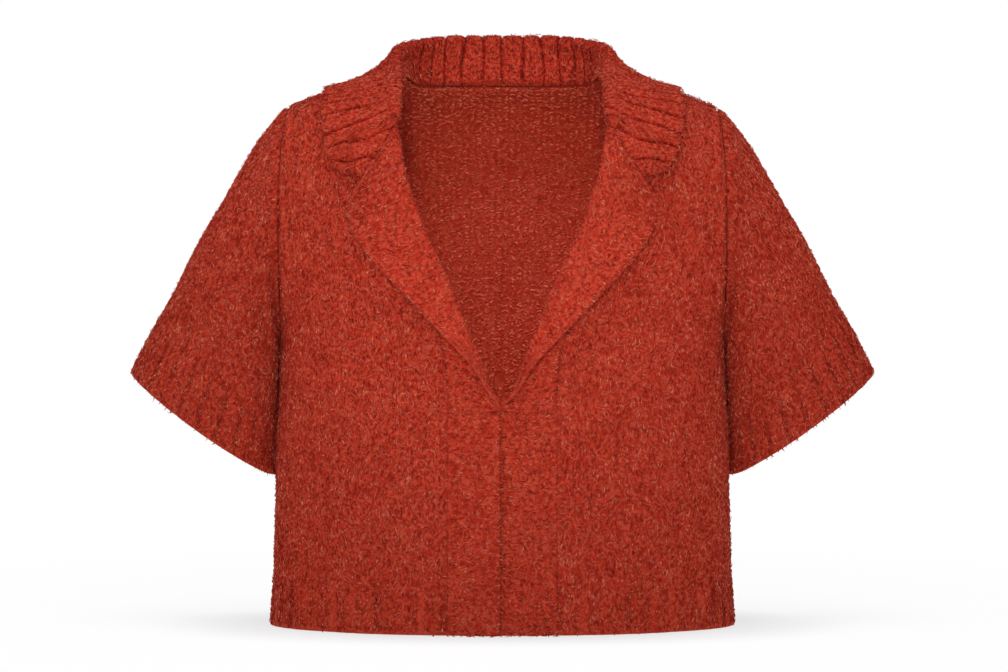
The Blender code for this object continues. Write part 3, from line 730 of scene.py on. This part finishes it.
rows_across = unit(rows_across + uprights * rng.normal(0.1, PURL_LEAN, n)[:, None])
uprights = unit(np.cross(inside_out, rows_across))
inside = settle(inside, swell(inside))
p, f, shade = spindles(
    inside, rows_across, uprights, inside_out, WALE * rng.uniform(0.6, 1.3, n),
    PURL_WIDTH * rng.uniform(0.6, 1.4, n), PURL_HEIGHT * rng.uniform(0.3, 1.3, n),
    np.where(rng.random(n) < 0.7, 0.16, -0.12) * rng.uniform(0.4, 1.6, n),
    np.full(n, STRAND_SINK), 1,
)
purl_tones = strand_tones(rng.normal(PURL_TONE, PURL_VARIES, n), shade)
back_purl = mesh_piece("back_purl_rows", p, f, PURL_YARN_PAINTED_LIGHT, tone=purl_tones)
dress("back", back, back_frames, flat=(0.534, 0.608), area=0.280, fuzz=0.15, extra=[back_purl])

front_inner, front_outer = body_skins(front_grid(74, 46), -1)
x, z = body_stitches(
    -1,
    lambda z: smooth(FRONT_EDGE, np.minimum(z, 0.013)) + 0.0004,
    far_edge,
    lambda x: shoulder_z(x) - TOP_MARGIN,
)
front_frames = body_frames(x, z, -1)
for name, side in (("front_left", 1), ("front_right", -1)):
    sew_on_side(
        name, side, front_inner, front_outer, False, front_frames, flat=(0.218, 0.607), area=0.100
    )


# The sleeves: wide and short, ribbed at the cuff, and sewn into the armholes as rings that turn
# from the armhole's shape to their own oval. Wales run from the shoulder down to the cuff.

SLEEVE = Curve(
    range(10),
    (  # top x, top z, underside x, underside z, half depth, middle y
        (0.2140, -0.0195, 0.2190, -0.2530, 0.0600, 0.0000),
        (0.2190, -0.0240, 0.2232, -0.2530, 0.0600, 0.0000),
        (0.2290, -0.0360, 0.2258, -0.2555, 0.0595, 0.0010),
        (0.2399, -0.0496, 0.2256, -0.2600, 0.0585, 0.0020),
        (0.2529, -0.0695, 0.2256, -0.2700, 0.0575, 0.0040),
        (0.2759, -0.1095, 0.2260, -0.2880, 0.0560, 0.0070),
        (0.2999, -0.1495, 0.2266, -0.3080, 0.0545, 0.0100),
        (0.3199, -0.1895, 0.2274, -0.3280, 0.0530, 0.0125),
        (0.3419, -0.2295, 0.2284, -0.3480, 0.0515, 0.0145),
        (0.3699, -0.2810, 0.2310, -0.3825, 0.0500, 0.0170),
    ),
)
SLEEVE_LENGTH = 9
SLEEVE_FIRST_RING = 0.9
ARMHOLE_SHARE = 0.35
CUFF_RIBS = 24
CUFF_RIB_RISE = 0.0013
CUFF_SAG = 0.0050  # of the cuff's middle beyond its top and underside
CUFF_START = 0.855  # of the way down the sleeve
SIDE_CLEARANCE = 0.0006
CLEAR_OF_SIDE = 0.0052  # the least height over the body of a stitch below the underarm
SLEEVE_ROWS, SLEEVE_COLUMNS = 64, 120


def free_ring(ring_at, turn):
    """The sleeve's own ovals. turn goes from 0 at the underside up the front to 1, then to 2."""
    ring = smooth(SLEEVE, ring_at)
    face = np.where(turn <= 1, -1, 1)
    angle = math.pi * np.where(turn <= 1, turn, 2 - turn)
    share = (1 - np.cos(angle)) / 2
    flat = 0 * ring[..., 0]
    onward = unit(np.stack([ring[..., 1] - ring[..., 3], flat, ring[..., 2] - ring[..., 0]], -1))
    sag = CUFF_SAG * (ring_at / SLEEVE_LENGTH) ** 2 * np.sin(angle)
    return onward * sag[..., None] + np.stack(
        [
            mix(ring[..., 2], ring[..., 0], share),
            ring[..., 5] + face * ring[..., 4] * np.sin(angle),
            mix(ring[..., 3], ring[..., 1], share),
        ],
        -1,
    )


def armhole_ring(turn):
    """Points of the armhole's edge on the form."""
    face = np.where(turn <= 1, -1, 1)
    share = (1 - np.cos(math.pi * np.where(turn <= 1, turn, 2 - turn))) / 2
    z = mix(UNDERARM_Z, SHOULDER_POINT[1], share)
    x = armhole_x(z)
    front, back_side = form_point(x, z, -1), form_point(x, z, 1)
    return np.where((face > 0)[..., None], back_side, front)


def sleeve_grid(rings, columns):
    """Points of the hollow side of the sleeve on the +X side, armhole first."""
    turn = np.linspace(0, 2, columns, endpoint=False)[None, :] + np.zeros((rings, 1))
    at = np.linspace(0, SLEEVE_LENGTH, rings)[:, None] + 0 * turn
    edge = armhole_ring(turn)
    outward = unit(form_slope(edge))
    along = armhole_ring(turn + 0.003) - armhole_ring(np.maximum(turn - 0.003, 0))
    onward = unit(np.cross(outward, along))
    onward = np.where((onward[..., 0] + onward[..., 2] < 0)[..., None], -onward, onward)
    away = unit(free_ring(0 * at + SLEEVE_FIRST_RING, turn) - free_ring(0 * at, turn))
    lean = np.maximum((away * outward).sum(-1), 0)
    start = edge + onward * (SEAM_GAP + WALL * lean)[..., None]
    near = 1 - ease((at - SLEEVE_FIRST_RING) / SLEEVE_LENGTH / ARMHOLE_SHARE)
    p = free_ring(at, turn) + (start - free_ring(0 * at, turn)) * near[..., None]
    low = (p[..., 2] < UNDERARM_Z)[..., None]
    return np.where(low, lift(p, 2 * WALL + SIDE_CLEARANCE), p)


def read_line(places, run, line):
    """Points of a line, or directions along it, at distances along it."""
    return np.stack([np.interp(places, run, line[:, k]) for k in range(3)], -1)


def grid_stitches(outer, normals, wales, start=0.42, closed=False):
    """Stitches on a grid of points whose rows go along the wales, at places between columns."""
    frames = []
    columns = outer.shape[1]
    for wale in wales:
        near = int(math.floor(wale)) % columns
        far = (near + 1) % columns if closed else min(near + 1, columns - 1)
        share = wale - math.floor(wale)
        line = mix(outer[:, near], outer[:, far], share)
        facing = unit(mix(normals[:, near], normals[:, far], share))
        run = chain(line)
        wanted = course_places(run[-1], len(frames), start)
        out = unit(read_line(wanted, run, facing))
        along = unit(read_line(wanted + 0.001, run, line) - read_line(wanted - 0.001, run, line))
        along = unit(along - out * (along * out).sum(-1, keepdims=True))
        frames.append((read_line(wanted, run, line), along, np.cross(along, out), out))
    return [np.concatenate(arrays) for arrays in zip(*frames)]


sleeve_form = sleeve_grid(SLEEVE_ROWS, SLEEVE_COLUMNS)
sleeve_out = grid_normals(sleeve_form, True)
middle = sleeve_form.mean(1, keepdims=True)
if ((sleeve_form - middle) * sleeve_out).sum() < 0:
    sleeve_out = -sleeve_out
sleeve_run = np.linspace(0, 1, SLEEVE_ROWS)[:, None]
sleeve_turn = np.linspace(0, CUFF_RIBS, SLEEVE_COLUMNS, endpoint=False)[None, :]
in_cuff = ease((sleeve_run - CUFF_START) / 0.03)
sleeve_high = WALL + CUFF_RIB_RISE * (rib_shape(sleeve_turn) - 0.35) * in_cuff
sleeve_high = sleeve_high - 0.0010 * np.exp(-((sleeve_run / 0.03) ** 2))
sleeve_swell = swell(sleeve_form) * ease(sleeve_run / 0.1)
clear_of_body = ease((form_value(sleeve_form) - 0.10) / 0.25)
sleeve_inner = sleeve_form + sleeve_out * (sleeve_swell * clear_of_body)[..., None]
sleeve_outer = sleeve_form + sleeve_out * (sleeve_swell * clear_of_body + sleeve_high)[..., None]
wale_count = 3 * CUFF_RIBS
sleeve_wales = (np.arange(wale_count) + 0.5) * SLEEVE_COLUMNS / wale_count
sleeve_frames = grid_stitches(sleeve_outer, sleeve_out, sleeve_wales, closed=True)
at = sleeve_frames[0]
height_over = form_value(at) / np.linalg.norm(form_slope(at), axis=-1)
touching = (height_over < CLEAR_OF_SIDE) & (at[:, 2] < UNDERARM_Z + 0.01)
sleeve_frames = keep_stitches(sleeve_frames, ~touching)
for name, side in (("sleeve_left", 1), ("sleeve_right", -1)):
    sew_on_side(
        name, side, sleeve_inner, sleeve_outer, True, sleeve_frames, flat=(0.564, 0.306), area=0.087
    )


# The front bands: knitted sideways and sewn to the fronts. Below the break the wearer's right one
# laps over the left one. Above it each band turns back on itself and lies on the front as a lapel.

LAP = {"right": 0.0025, "left": -0.0045}
LAP_STEP = {"right": 0.0019, "left": -0.0019}
FOLD_RADIUS = 0.0031
SEAM_LAP = 0.0014  # of the band's ridge over the front's edge
SEAM_RIDGE = 0.0007
RIDGE_AT, RIDGE_WIDTH = 0.0025, 0.0030  # from the seam, along the band
SEAM_SINK = 0.0013  # of its last row into the front, so that no edge shows
LAPEL_LIFT = 0.0115  # of its free edge off the front, which the shadow under it shows
BREAK_Z = -0.3150
LAPEL = Curve(
    range(13),
    (  # seam x and z, roll x and z, free edge x and z, degrees turned back
        (0.0525, -0.3150, 0.0030, -0.3150, 0.0030, -0.3150, 0),
        (0.0525, -0.3080, 0.0052, -0.3080, 0.0052, -0.3080, 55),
        (0.0527, -0.3010, 0.0078, -0.3010, 0.0085, -0.3015, 110),
        (0.0532, -0.2930, 0.0105, -0.2930, 0.0140, -0.2950, 150),
        (0.0545, -0.2780, 0.0158, -0.2780, 0.0215, -0.2805, 175),
        (0.0562, -0.2620, 0.0225, -0.2600, 0.0330, -0.2650, 180),
        (0.0625, -0.2350, 0.0359, -0.2287, 0.0600, -0.2360, 180),
        (0.0765, -0.1900, 0.0550, -0.1809, 0.0940, -0.1990, 180),
        (0.0880, -0.1570, 0.0703, -0.1494, 0.1180, -0.1725, 180),
        (0.0985, -0.1180, 0.0840, -0.1120, 0.1375, -0.1440, 180),
        (0.1040, -0.0880, 0.0930, -0.0840, 0.1408, -0.1240, 180),
        (0.1070, -0.0620, 0.0998, -0.0600, 0.1370, -0.1070, 180),
        (0.1078, -0.0476, 0.1032, -0.0482, 0.1303, -0.0955, 180),
    ),
)
BREAK_SPREAD, STEP_SPREAD, ROLL_END = 2.2, 5.0, 9.0
BAND_CELLS = (7, 8, 10)
FLAT_ROWS, LAPEL_ROWS = 44, 70


def flat_band_row(z, free_edge, step):
    share = np.linspace(0, 1, sum(BAND_CELLS) + 1)
    seam_x = float(smooth(FRONT_EDGE, z)) - SEAM_GAP
    line = form_point(mix(seam_x, free_edge, share), np.full(share.shape, z), -1)
    return settle(line, WALL / 2 + step * ease(share))


def lapel_row(row, step, inset):
    """The middle of the wall across a lapel: under the roll, round it, and out to its edge. The
    table's roll is its outermost line, and inset is the share of the turn kept inside it."""
    seam = np.array([row[0] - SEAM_GAP, row[1]])
    roll, edge = np.array(row[2:4]), np.array(row[4:6])
    turn = math.radians(min(max(row[6], 0), 180))
    under = unit(roll - seam)
    roll = roll - under * (FOLD_RADIUS + WALL / 2) * math.sin(min(turn, math.pi / 2)) * inset
    over = unit(edge - roll) if np.linalg.norm(edge - roll) > 1e-6 else -under
    flat, high = [], []
    for i in range(BAND_CELLS[0]):
        share = i / BAND_CELLS[0]
        flat.append(mix(seam, roll, share))
        high.append(WALL / 2 + step * float(ease(share)))
    for i in range(BAND_CELLS[1] + 1):
        angle = turn * i / BAND_CELLS[1]
        ahead = unit(mix(under, -over, angle / math.pi))
        flat.append(roll + ahead * FOLD_RADIUS * math.sin(angle))
        high.append(WALL / 2 + step + FOLD_RADIUS * (1 - math.cos(angle)))
    last, top = flat[-1], high[-1]
    for i in range(1, BAND_CELLS[2] + 1):
        share = i / BAND_CELLS[2]
        flat.append(mix(last, edge, share))
        high.append(top + LAPEL_LIFT * share * share * min(turn / math.pi, 1))
    flat = np.array(flat)
    return settle(form_point(flat[:, 0], flat[:, 1], -1), np.array(high))


def band_grid(side_name):
    """The middle of a band's wall on the +X side, one row a section, from the hem up."""
    free_edge, step = LAP[side_name], LAP_STEP[side_name]
    levels = np.linspace(HEM_Z, BREAK_Z, FLAT_ROWS)[:-1]
    rows = [flat_band_row(z, free_edge, step) for z in levels]
    for at in np.linspace(0, 12, LAPEL_ROWS):
        row = smooth(LAPEL, at)
        shift = (free_edge - LAPEL.values[0][4]) * (1 - float(ease(at / BREAK_SPREAD)))
        row = row + np.array([0, 0, shift, 0, shift, 0, 0])
        inset = 1 - float(ease((at - ROLL_END) / (12 - ROLL_END)))
        rows.append(lapel_row(row, step * (1 - float(ease(at / STEP_SPREAD))), inset))
    return np.array(rows)


for side_name, side in (("left", 1), ("right", -1)):
    middle = band_grid(side_name)
    middle = middle + unit(form_slope(middle)) * swell(middle)[..., None]
    facing = grid_normals(middle, False)
    if (facing[5] * form_slope(middle[5])).sum() < 0:
        facing = -facing
    steps = np.linalg.norm(np.diff(middle, axis=1), axis=-1)
    from_seam = np.concatenate([np.zeros((len(middle), 1)), np.cumsum(steps, 1)], 1)
    seam_ridge = SEAM_RIDGE * np.exp(-(((from_seam - RIDGE_AT) / RIDGE_WIDTH) ** 2))
    outer = middle + facing * (WALL / 2 + seam_ridge)[..., None]
    inner = middle - facing * (WALL / 2)
    outer[:, 0] += unit(outer[:, 0] - outer[:, 1]) * SEAM_LAP - facing[:, 0] * SEAM_SINK
    run = chain(middle[:, 0])
    rows_at = np.interp(np.arange(0.25, run[-1] / WALE) * WALE, run, np.arange(len(run)))
    frames = []
    turned_facing = facing.transpose(1, 0, 2)
    for skin_side, points in ((1, outer), (-1, inner)):
        turned = points.transpose(1, 0, 2)
        found = grid_stitches(turned, skin_side * turned_facing, rows_at, start=0.12)
        out_of_body = (unit(form_slope(found[0])) * found[3]).sum(-1)
        frames.append(keep_stitches(found, out_of_body > -0.25))
    stitches = [np.concatenate(pair) for pair in zip(*frames)]
    sew_on_side(
        f"band_{side_name}", side, inner[:, ::-1], outer[:, ::-1], False, stitches,
        flat=(0.087, 0.545), area=0.030, scale=0.85,
    )


# The collar: one strip in broad ribs. It stands at the neck, rolls over and falls on the
# shoulders, and it is sewn round the neckline and down the gorge beside each lapel.

COLLAR_RIB_RISE = 0.0024
COLLAR_LIFT = 0.0065  # of its free edge off the fronts, which the shadow under it shows
LIFT_FROM_RIB, LIFT_FROM_SHARE = 11, 0.55  # where that lift starts, along the strip and across it
CREST_WAVER = 0.09  # of a rib
COLLAR_FOLD_RADIUS = 0.0032
GORGE_HEIGHT, FALL_HEIGHT, CLEAR_HEIGHT = 0.0022, 0.0008, 0.0005
STAND_BEND, FALL_BEND, FLAT_STAND = 0.35, 0.30, 0.02
HALF_RIBS = 19
STAND_SHADE = 0.52  # painted shade: how much darker the strands of the stand are painted, inside the neck
COLLAR = Curve(
    (0.0, 3.0, 5.5, 8.0, 10.5, 12.8, 15.0, 16.2, 16.9, 17.8, 18.5, 19.0),
    (  # neck edge, roll and free edge in turn, then 1 where the collar stands
        (0.000, 0.0505, 0.0090, 0.000, 0.067, 0.0600, 0.000, 0.086, 0.0000, 1),
        (0.060, 0.0465, 0.0090, 0.058, 0.061, 0.0588, 0.078, 0.080, -0.0010, 1),
        (0.088, 0.0330, 0.0097, 0.089, 0.040, 0.0515, 0.140, 0.062, -0.0030, 1),
        (0.0972, 0.004, 0.0128, 0.103, 0.012, 0.0430, 0.172, 0.027, 0.0000, 1),
        (0.0980, -0.021, 0.0105, 0.105, -0.014, 0.0270, 0.174, -0.010, -0.0010, 1),
        (0.1012, -0.049, -0.0010, 0.104, -0.045, 0.0080, 0.172, -0.042, -0.0180, 1),
        (0.1048, -0.0712, -0.0200, 0.103, -0.075, -0.0140, 0.1695, -0.062, -0.0420, 1),
        (0.1065, -0.081, -0.0325, 0.1025, -0.092, -0.0285, 0.1670, -0.075, -0.0580, 1),
        (0.1066, -0.096, -0.0425, 0.1066, -0.096, -0.0425, 0.1650, -0.078, -0.0660, 0),
        (0.1182, -0.096, -0.0692, 0.1182, -0.096, -0.0692, 0.1610, -0.082, -0.0760, 0),
        (0.1249, -0.097, -0.0819, 0.1249, -0.097, -0.0819, 0.1560, -0.085, -0.0835, 0),
        (0.1308, -0.097, -0.0925, 0.1308, -0.097, -0.0925, 0.1500, -0.090, -0.0885, 0),
    ),
)
COLLAR_CELLS = (7, 8, 12)


def bend(foot, head, up, share, cells):
    control = head - up * np.linalg.norm(head - foot) * share
    t = np.linspace(0, 1, cells + 1)[:, None]
    return foot * (1 - t) ** 2 + control * 2 * t * (1 - t) + head * t * t


def collar_section(ribs):
    """The hollow side of the collar across one section, from the neck edge to the free edge."""
    row = smooth(COLLAR, np.array(ribs))
    neck, roll, edge, stand = row[0:3], row[3:6], row[6:9], min(max(row[9], 0.0), 1.0)
    neck = settle(neck, np.array(mix(WALL + GORGE_HEIGHT, WALL + SEAM_GAP, stand)))
    edge = lift(edge, WALL + FALL_HEIGHT)
    if stand < FLAT_STAND:
        line = np.array([mix(neck, edge, i / 8) for i in range(9)])
    else:
        up = unit(unit(roll - neck) + unit(roll - edge))
        out = (edge - neck) - up * ((edge - neck) * up).sum()
        out = unit(out)
        radius = COLLAR_FOLD_RADIUS * stand
        centre = roll - up * radius
        first = bend(neck, centre - out * radius, up, STAND_BEND, 4)
        angles = np.radians(-90 + 22.5 * np.arange(1, 8))[:, None]
        arc = centre + (up * np.cos(angles) + out * np.sin(angles)) * radius
        fall = bend(edge, centre + out * radius, up, FALL_BEND, 6)[::-1]
        line = np.concatenate([first, arc, fall])
    line = np.concatenate([line[:1], lift(line[1:], WALL + CLEAR_HEIGHT)])
    run = chain(line)
    cells = sum(COLLAR_CELLS)
    stations = run[-1] * np.arange(cells + 1) / cells
    if stand >= FLAT_STAND:
        to_roll, round_roll = run[4], run[12] - run[4]
        first, middle, last = COLLAR_CELLS
        close = np.concatenate(
            [
                to_roll * np.arange(first) / first,
                to_roll + round_roll * np.arange(middle) / middle,
                run[12] + (run[-1] - run[12]) * np.arange(last + 1) / last,
            ]
        )
        stations = mix(stations, close, stand)
    return read_line(stations, run, line)


CELLS_A_RIB = 12
rib_places = np.linspace(-HALF_RIBS, HALF_RIBS, 2 * HALF_RIBS * CELLS_A_RIB + 1)
sections = []
for ribs in rib_places:
    section = collar_section(abs(ribs))
    sections.append(section * np.array([1.0 if ribs >= 0 else -1.0, 1.0, 1.0]))
collar_form = np.array(sections).transpose(1, 0, 2)
collar_out = grid_normals(collar_form, False)
top = collar_form[:, HALF_RIBS * CELLS_A_RIB, 2].argmax()
if collar_out[top, HALF_RIBS * CELLS_A_RIB, 2] < 0:
    collar_out = -collar_out
across_it = np.linspace(0, 1, collar_form.shape[0])[:, None]
waver = CREST_WAVER * np.sin(8 * across_it + 2.3 * rib_places) * ease(across_it / 0.1)
crests = rib_shape(rib_places[None, :] + waver)
collar_high = WALL + COLLAR_RIB_RISE * (crests - 0.4) * ease(across_it / 0.10)
raised = COLLAR_LIFT * ease((np.abs(rib_places) - LIFT_FROM_RIB) / 3)[None, :]
raised = raised * ease((across_it - LIFT_FROM_SHARE) / (1 - LIFT_FROM_SHARE))
collar_form = collar_form + unit(form_slope(collar_form)) * raised[..., None]
collar_outer = collar_form + collar_out * collar_high[..., None]
collar_outer[0] += unit(collar_outer[0] - collar_outer[1]) * 2 * SEAM_LAP + collar_out[0] * 0.0006
collar = cloth(
    "collar_cloth", collar_form[:, ::-1], collar_outer[:, ::-1], False, RIB_GROUND,
    tone=crests[:, ::-1],
)
COLLAR_WALES = (0.13, 0.32, 0.50, 0.68, 0.87)
collar_wales = np.concatenate(
    [(np.arange(2 * HALF_RIBS) + phase) * CELLS_A_RIB for phase in COLLAR_WALES]
)
collar_frames = grid_stitches(collar_outer, collar_out, collar_wales, start=0.10)
at, facing = collar_frames[0], collar_frames[3]
# Painted shade: stitches on the stand that face into the neck are painted darker, by up to
# STAND_SHADE.
painted_stand_shade = STAND_SHADE * ease((-facing[:, 1] - 0.2) / 0.4) * ease((at[:, 1] + 0.03) / 0.03)
dress(
    "collar", collar, collar_frames, flat=(0.736, 0.120), area=0.059, held="folded", fuzz=0.25,
    scale=0.62, tangle=0.20, shaded=painted_stand_shade,
)


# The stand: a plain white floor under soft studio light, with the camera level with the middle
# of the garment, as the photograph was taken. The floor mostly shines by itself, to stay as white
# as the photo's, and a dim oval under the garment is its contact shade.

FLOOR_FADE = (0.35, 1.1)  # from the garment's middle: over it the floor's own light takes over
FLOOR_LIT, FLOOR_GLOW = 0.15, 0.89
GARMENT_OVAL = 0.53  # depth of the garment's footprint as a share of its width
SHADE_FADE, SHADE = (0.11, 0.20), 0.82
SKY_FADE = (0.15, 0.30)  # heights between which the bright horizon turns to the dim sky
HORIZON_GLOW, SKY_GLOW = 1.02, 0.12
SOFTBOX_SIZE = 1.6
NECK_SPOT_WATTS, NECK_SPOT_DEGREES, NECK_SPOT_RADIUS = 330.0, 8.6, 0.25
bpy.ops.object.select_all(action="DESELECT")
bpy.ops.mesh.primitive_plane_add(size=24, location=(0, 0, HEM_Z - 0.001))
floor = bpy.context.object
floor.name = "studio_floor"
paper, paper_tree, paper_shader = new_material("white_paper")


def length_of(vector):
    return node(vector.tree, "ShaderNodeVectorMath", {"operation": "LENGTH"}, {0: vector}, out=1)


def fade(at, span, near, far):
    """A smooth change from near to far, over the span of a socket's values."""
    return node(
        at.tree, "ShaderNodeMapRange", {"interpolation_type": "SMOOTHSTEP"},
        {"Value": at, "From Min": span[0], "From Max": span[1], "To Min": near, "To Max": far},
    )


away = length_of(place(paper_tree))
oval = node(
    paper_tree, "ShaderNodeVectorMath", {"operation": "MULTIPLY"},
    {0: place(paper_tree), 1: (GARMENT_OVAL, 1.0, 1.0)},
)
lit = fade(away, FLOOR_FADE, FLOOR_LIT, 0.0)
# Painted shadow: the floor's glow is dimmed towards SHADE in an oval under the garment, standing in
# for its contact shadow.
glow_and_painted_shadow = fade(away, FLOOR_FADE, FLOOR_GLOW, 1.0) * fade(length_of(oval), SHADE_FADE, SHADE, 1.0)
paper_tree.links.new(lit.socket, paper_shader.inputs["Base Color"])
paper_tree.links.new(glow_and_painted_shadow.socket, paper_shader.inputs["Emission Color"])
paper_shader.inputs["Emission Strength"].default_value = 1.0
paper_shader.inputs["Roughness"].default_value = 1.0
paper_shader.inputs["Specular IOR Level"].default_value = 0.0
floor.data.materials.append(paper)

world = bpy.data.worlds.new("studio")
world.use_nodes = True
sky = world.node_tree
toward = node(sky, "ShaderNodeTexCoord", {}, {}, out="Generated")
height = node(sky, "ShaderNodeSeparateXYZ", {}, {"Vector": toward}, out="Z")
glow = fade(height, SKY_FADE, HORIZON_GLOW, SKY_GLOW)
sky.links.new(glow.socket, sky.nodes["Background"].inputs["Strength"])
sky.nodes["Background"].inputs["Color"].default_value = (1.0, 1.0, 1.0, 1.0)
bpy.context.scene.world = world
bpy.context.scene.view_settings.view_transform = "Standard"



def set_up(data, at, degrees):
    """Puts a lamp or the camera in its place, turned by degrees about X, Y and Z."""
    stood = bpy.data.objects.new(data.name, data)
    stood.location = at
    stood.rotation_euler = [math.radians(angle) for angle in degrees]
    bpy.context.scene.collection.objects.link(stood)
    return stood


for name, at, degrees, watts in (
    ("top_softbox", (-0.1, -0.65, 2.35), (13, -2, 0), 49.0),
    ("front_softbox", (-0.4, -3.2, 0.3), (81, 0, -7), 8.0),
):
    lamp = bpy.data.lights.new(name, "AREA")
    lamp.shape = "SQUARE"
    lamp.size = SOFTBOX_SIZE
    lamp.energy = watts
    set_up(lamp, at, degrees)

lamp = bpy.data.lights.new("neck_spot", "SPOT")
lamp.energy = NECK_SPOT_WATTS
lamp.spot_size = math.radians(NECK_SPOT_DEGREES)
lamp.spot_blend = 1.0
lamp.shadow_soft_size = NECK_SPOT_RADIUS
set_up(lamp, (-0.1, -3.0, 0.40), (79.2, 0, -1.9))

lens = bpy.data.cameras.new("front_view")
lens.lens = 89.3
lens.sensor_width = 36.0
bpy.context.scene.camera = set_up(lens, (0.0015, -2.5, -0.244), (90, 0, 0))
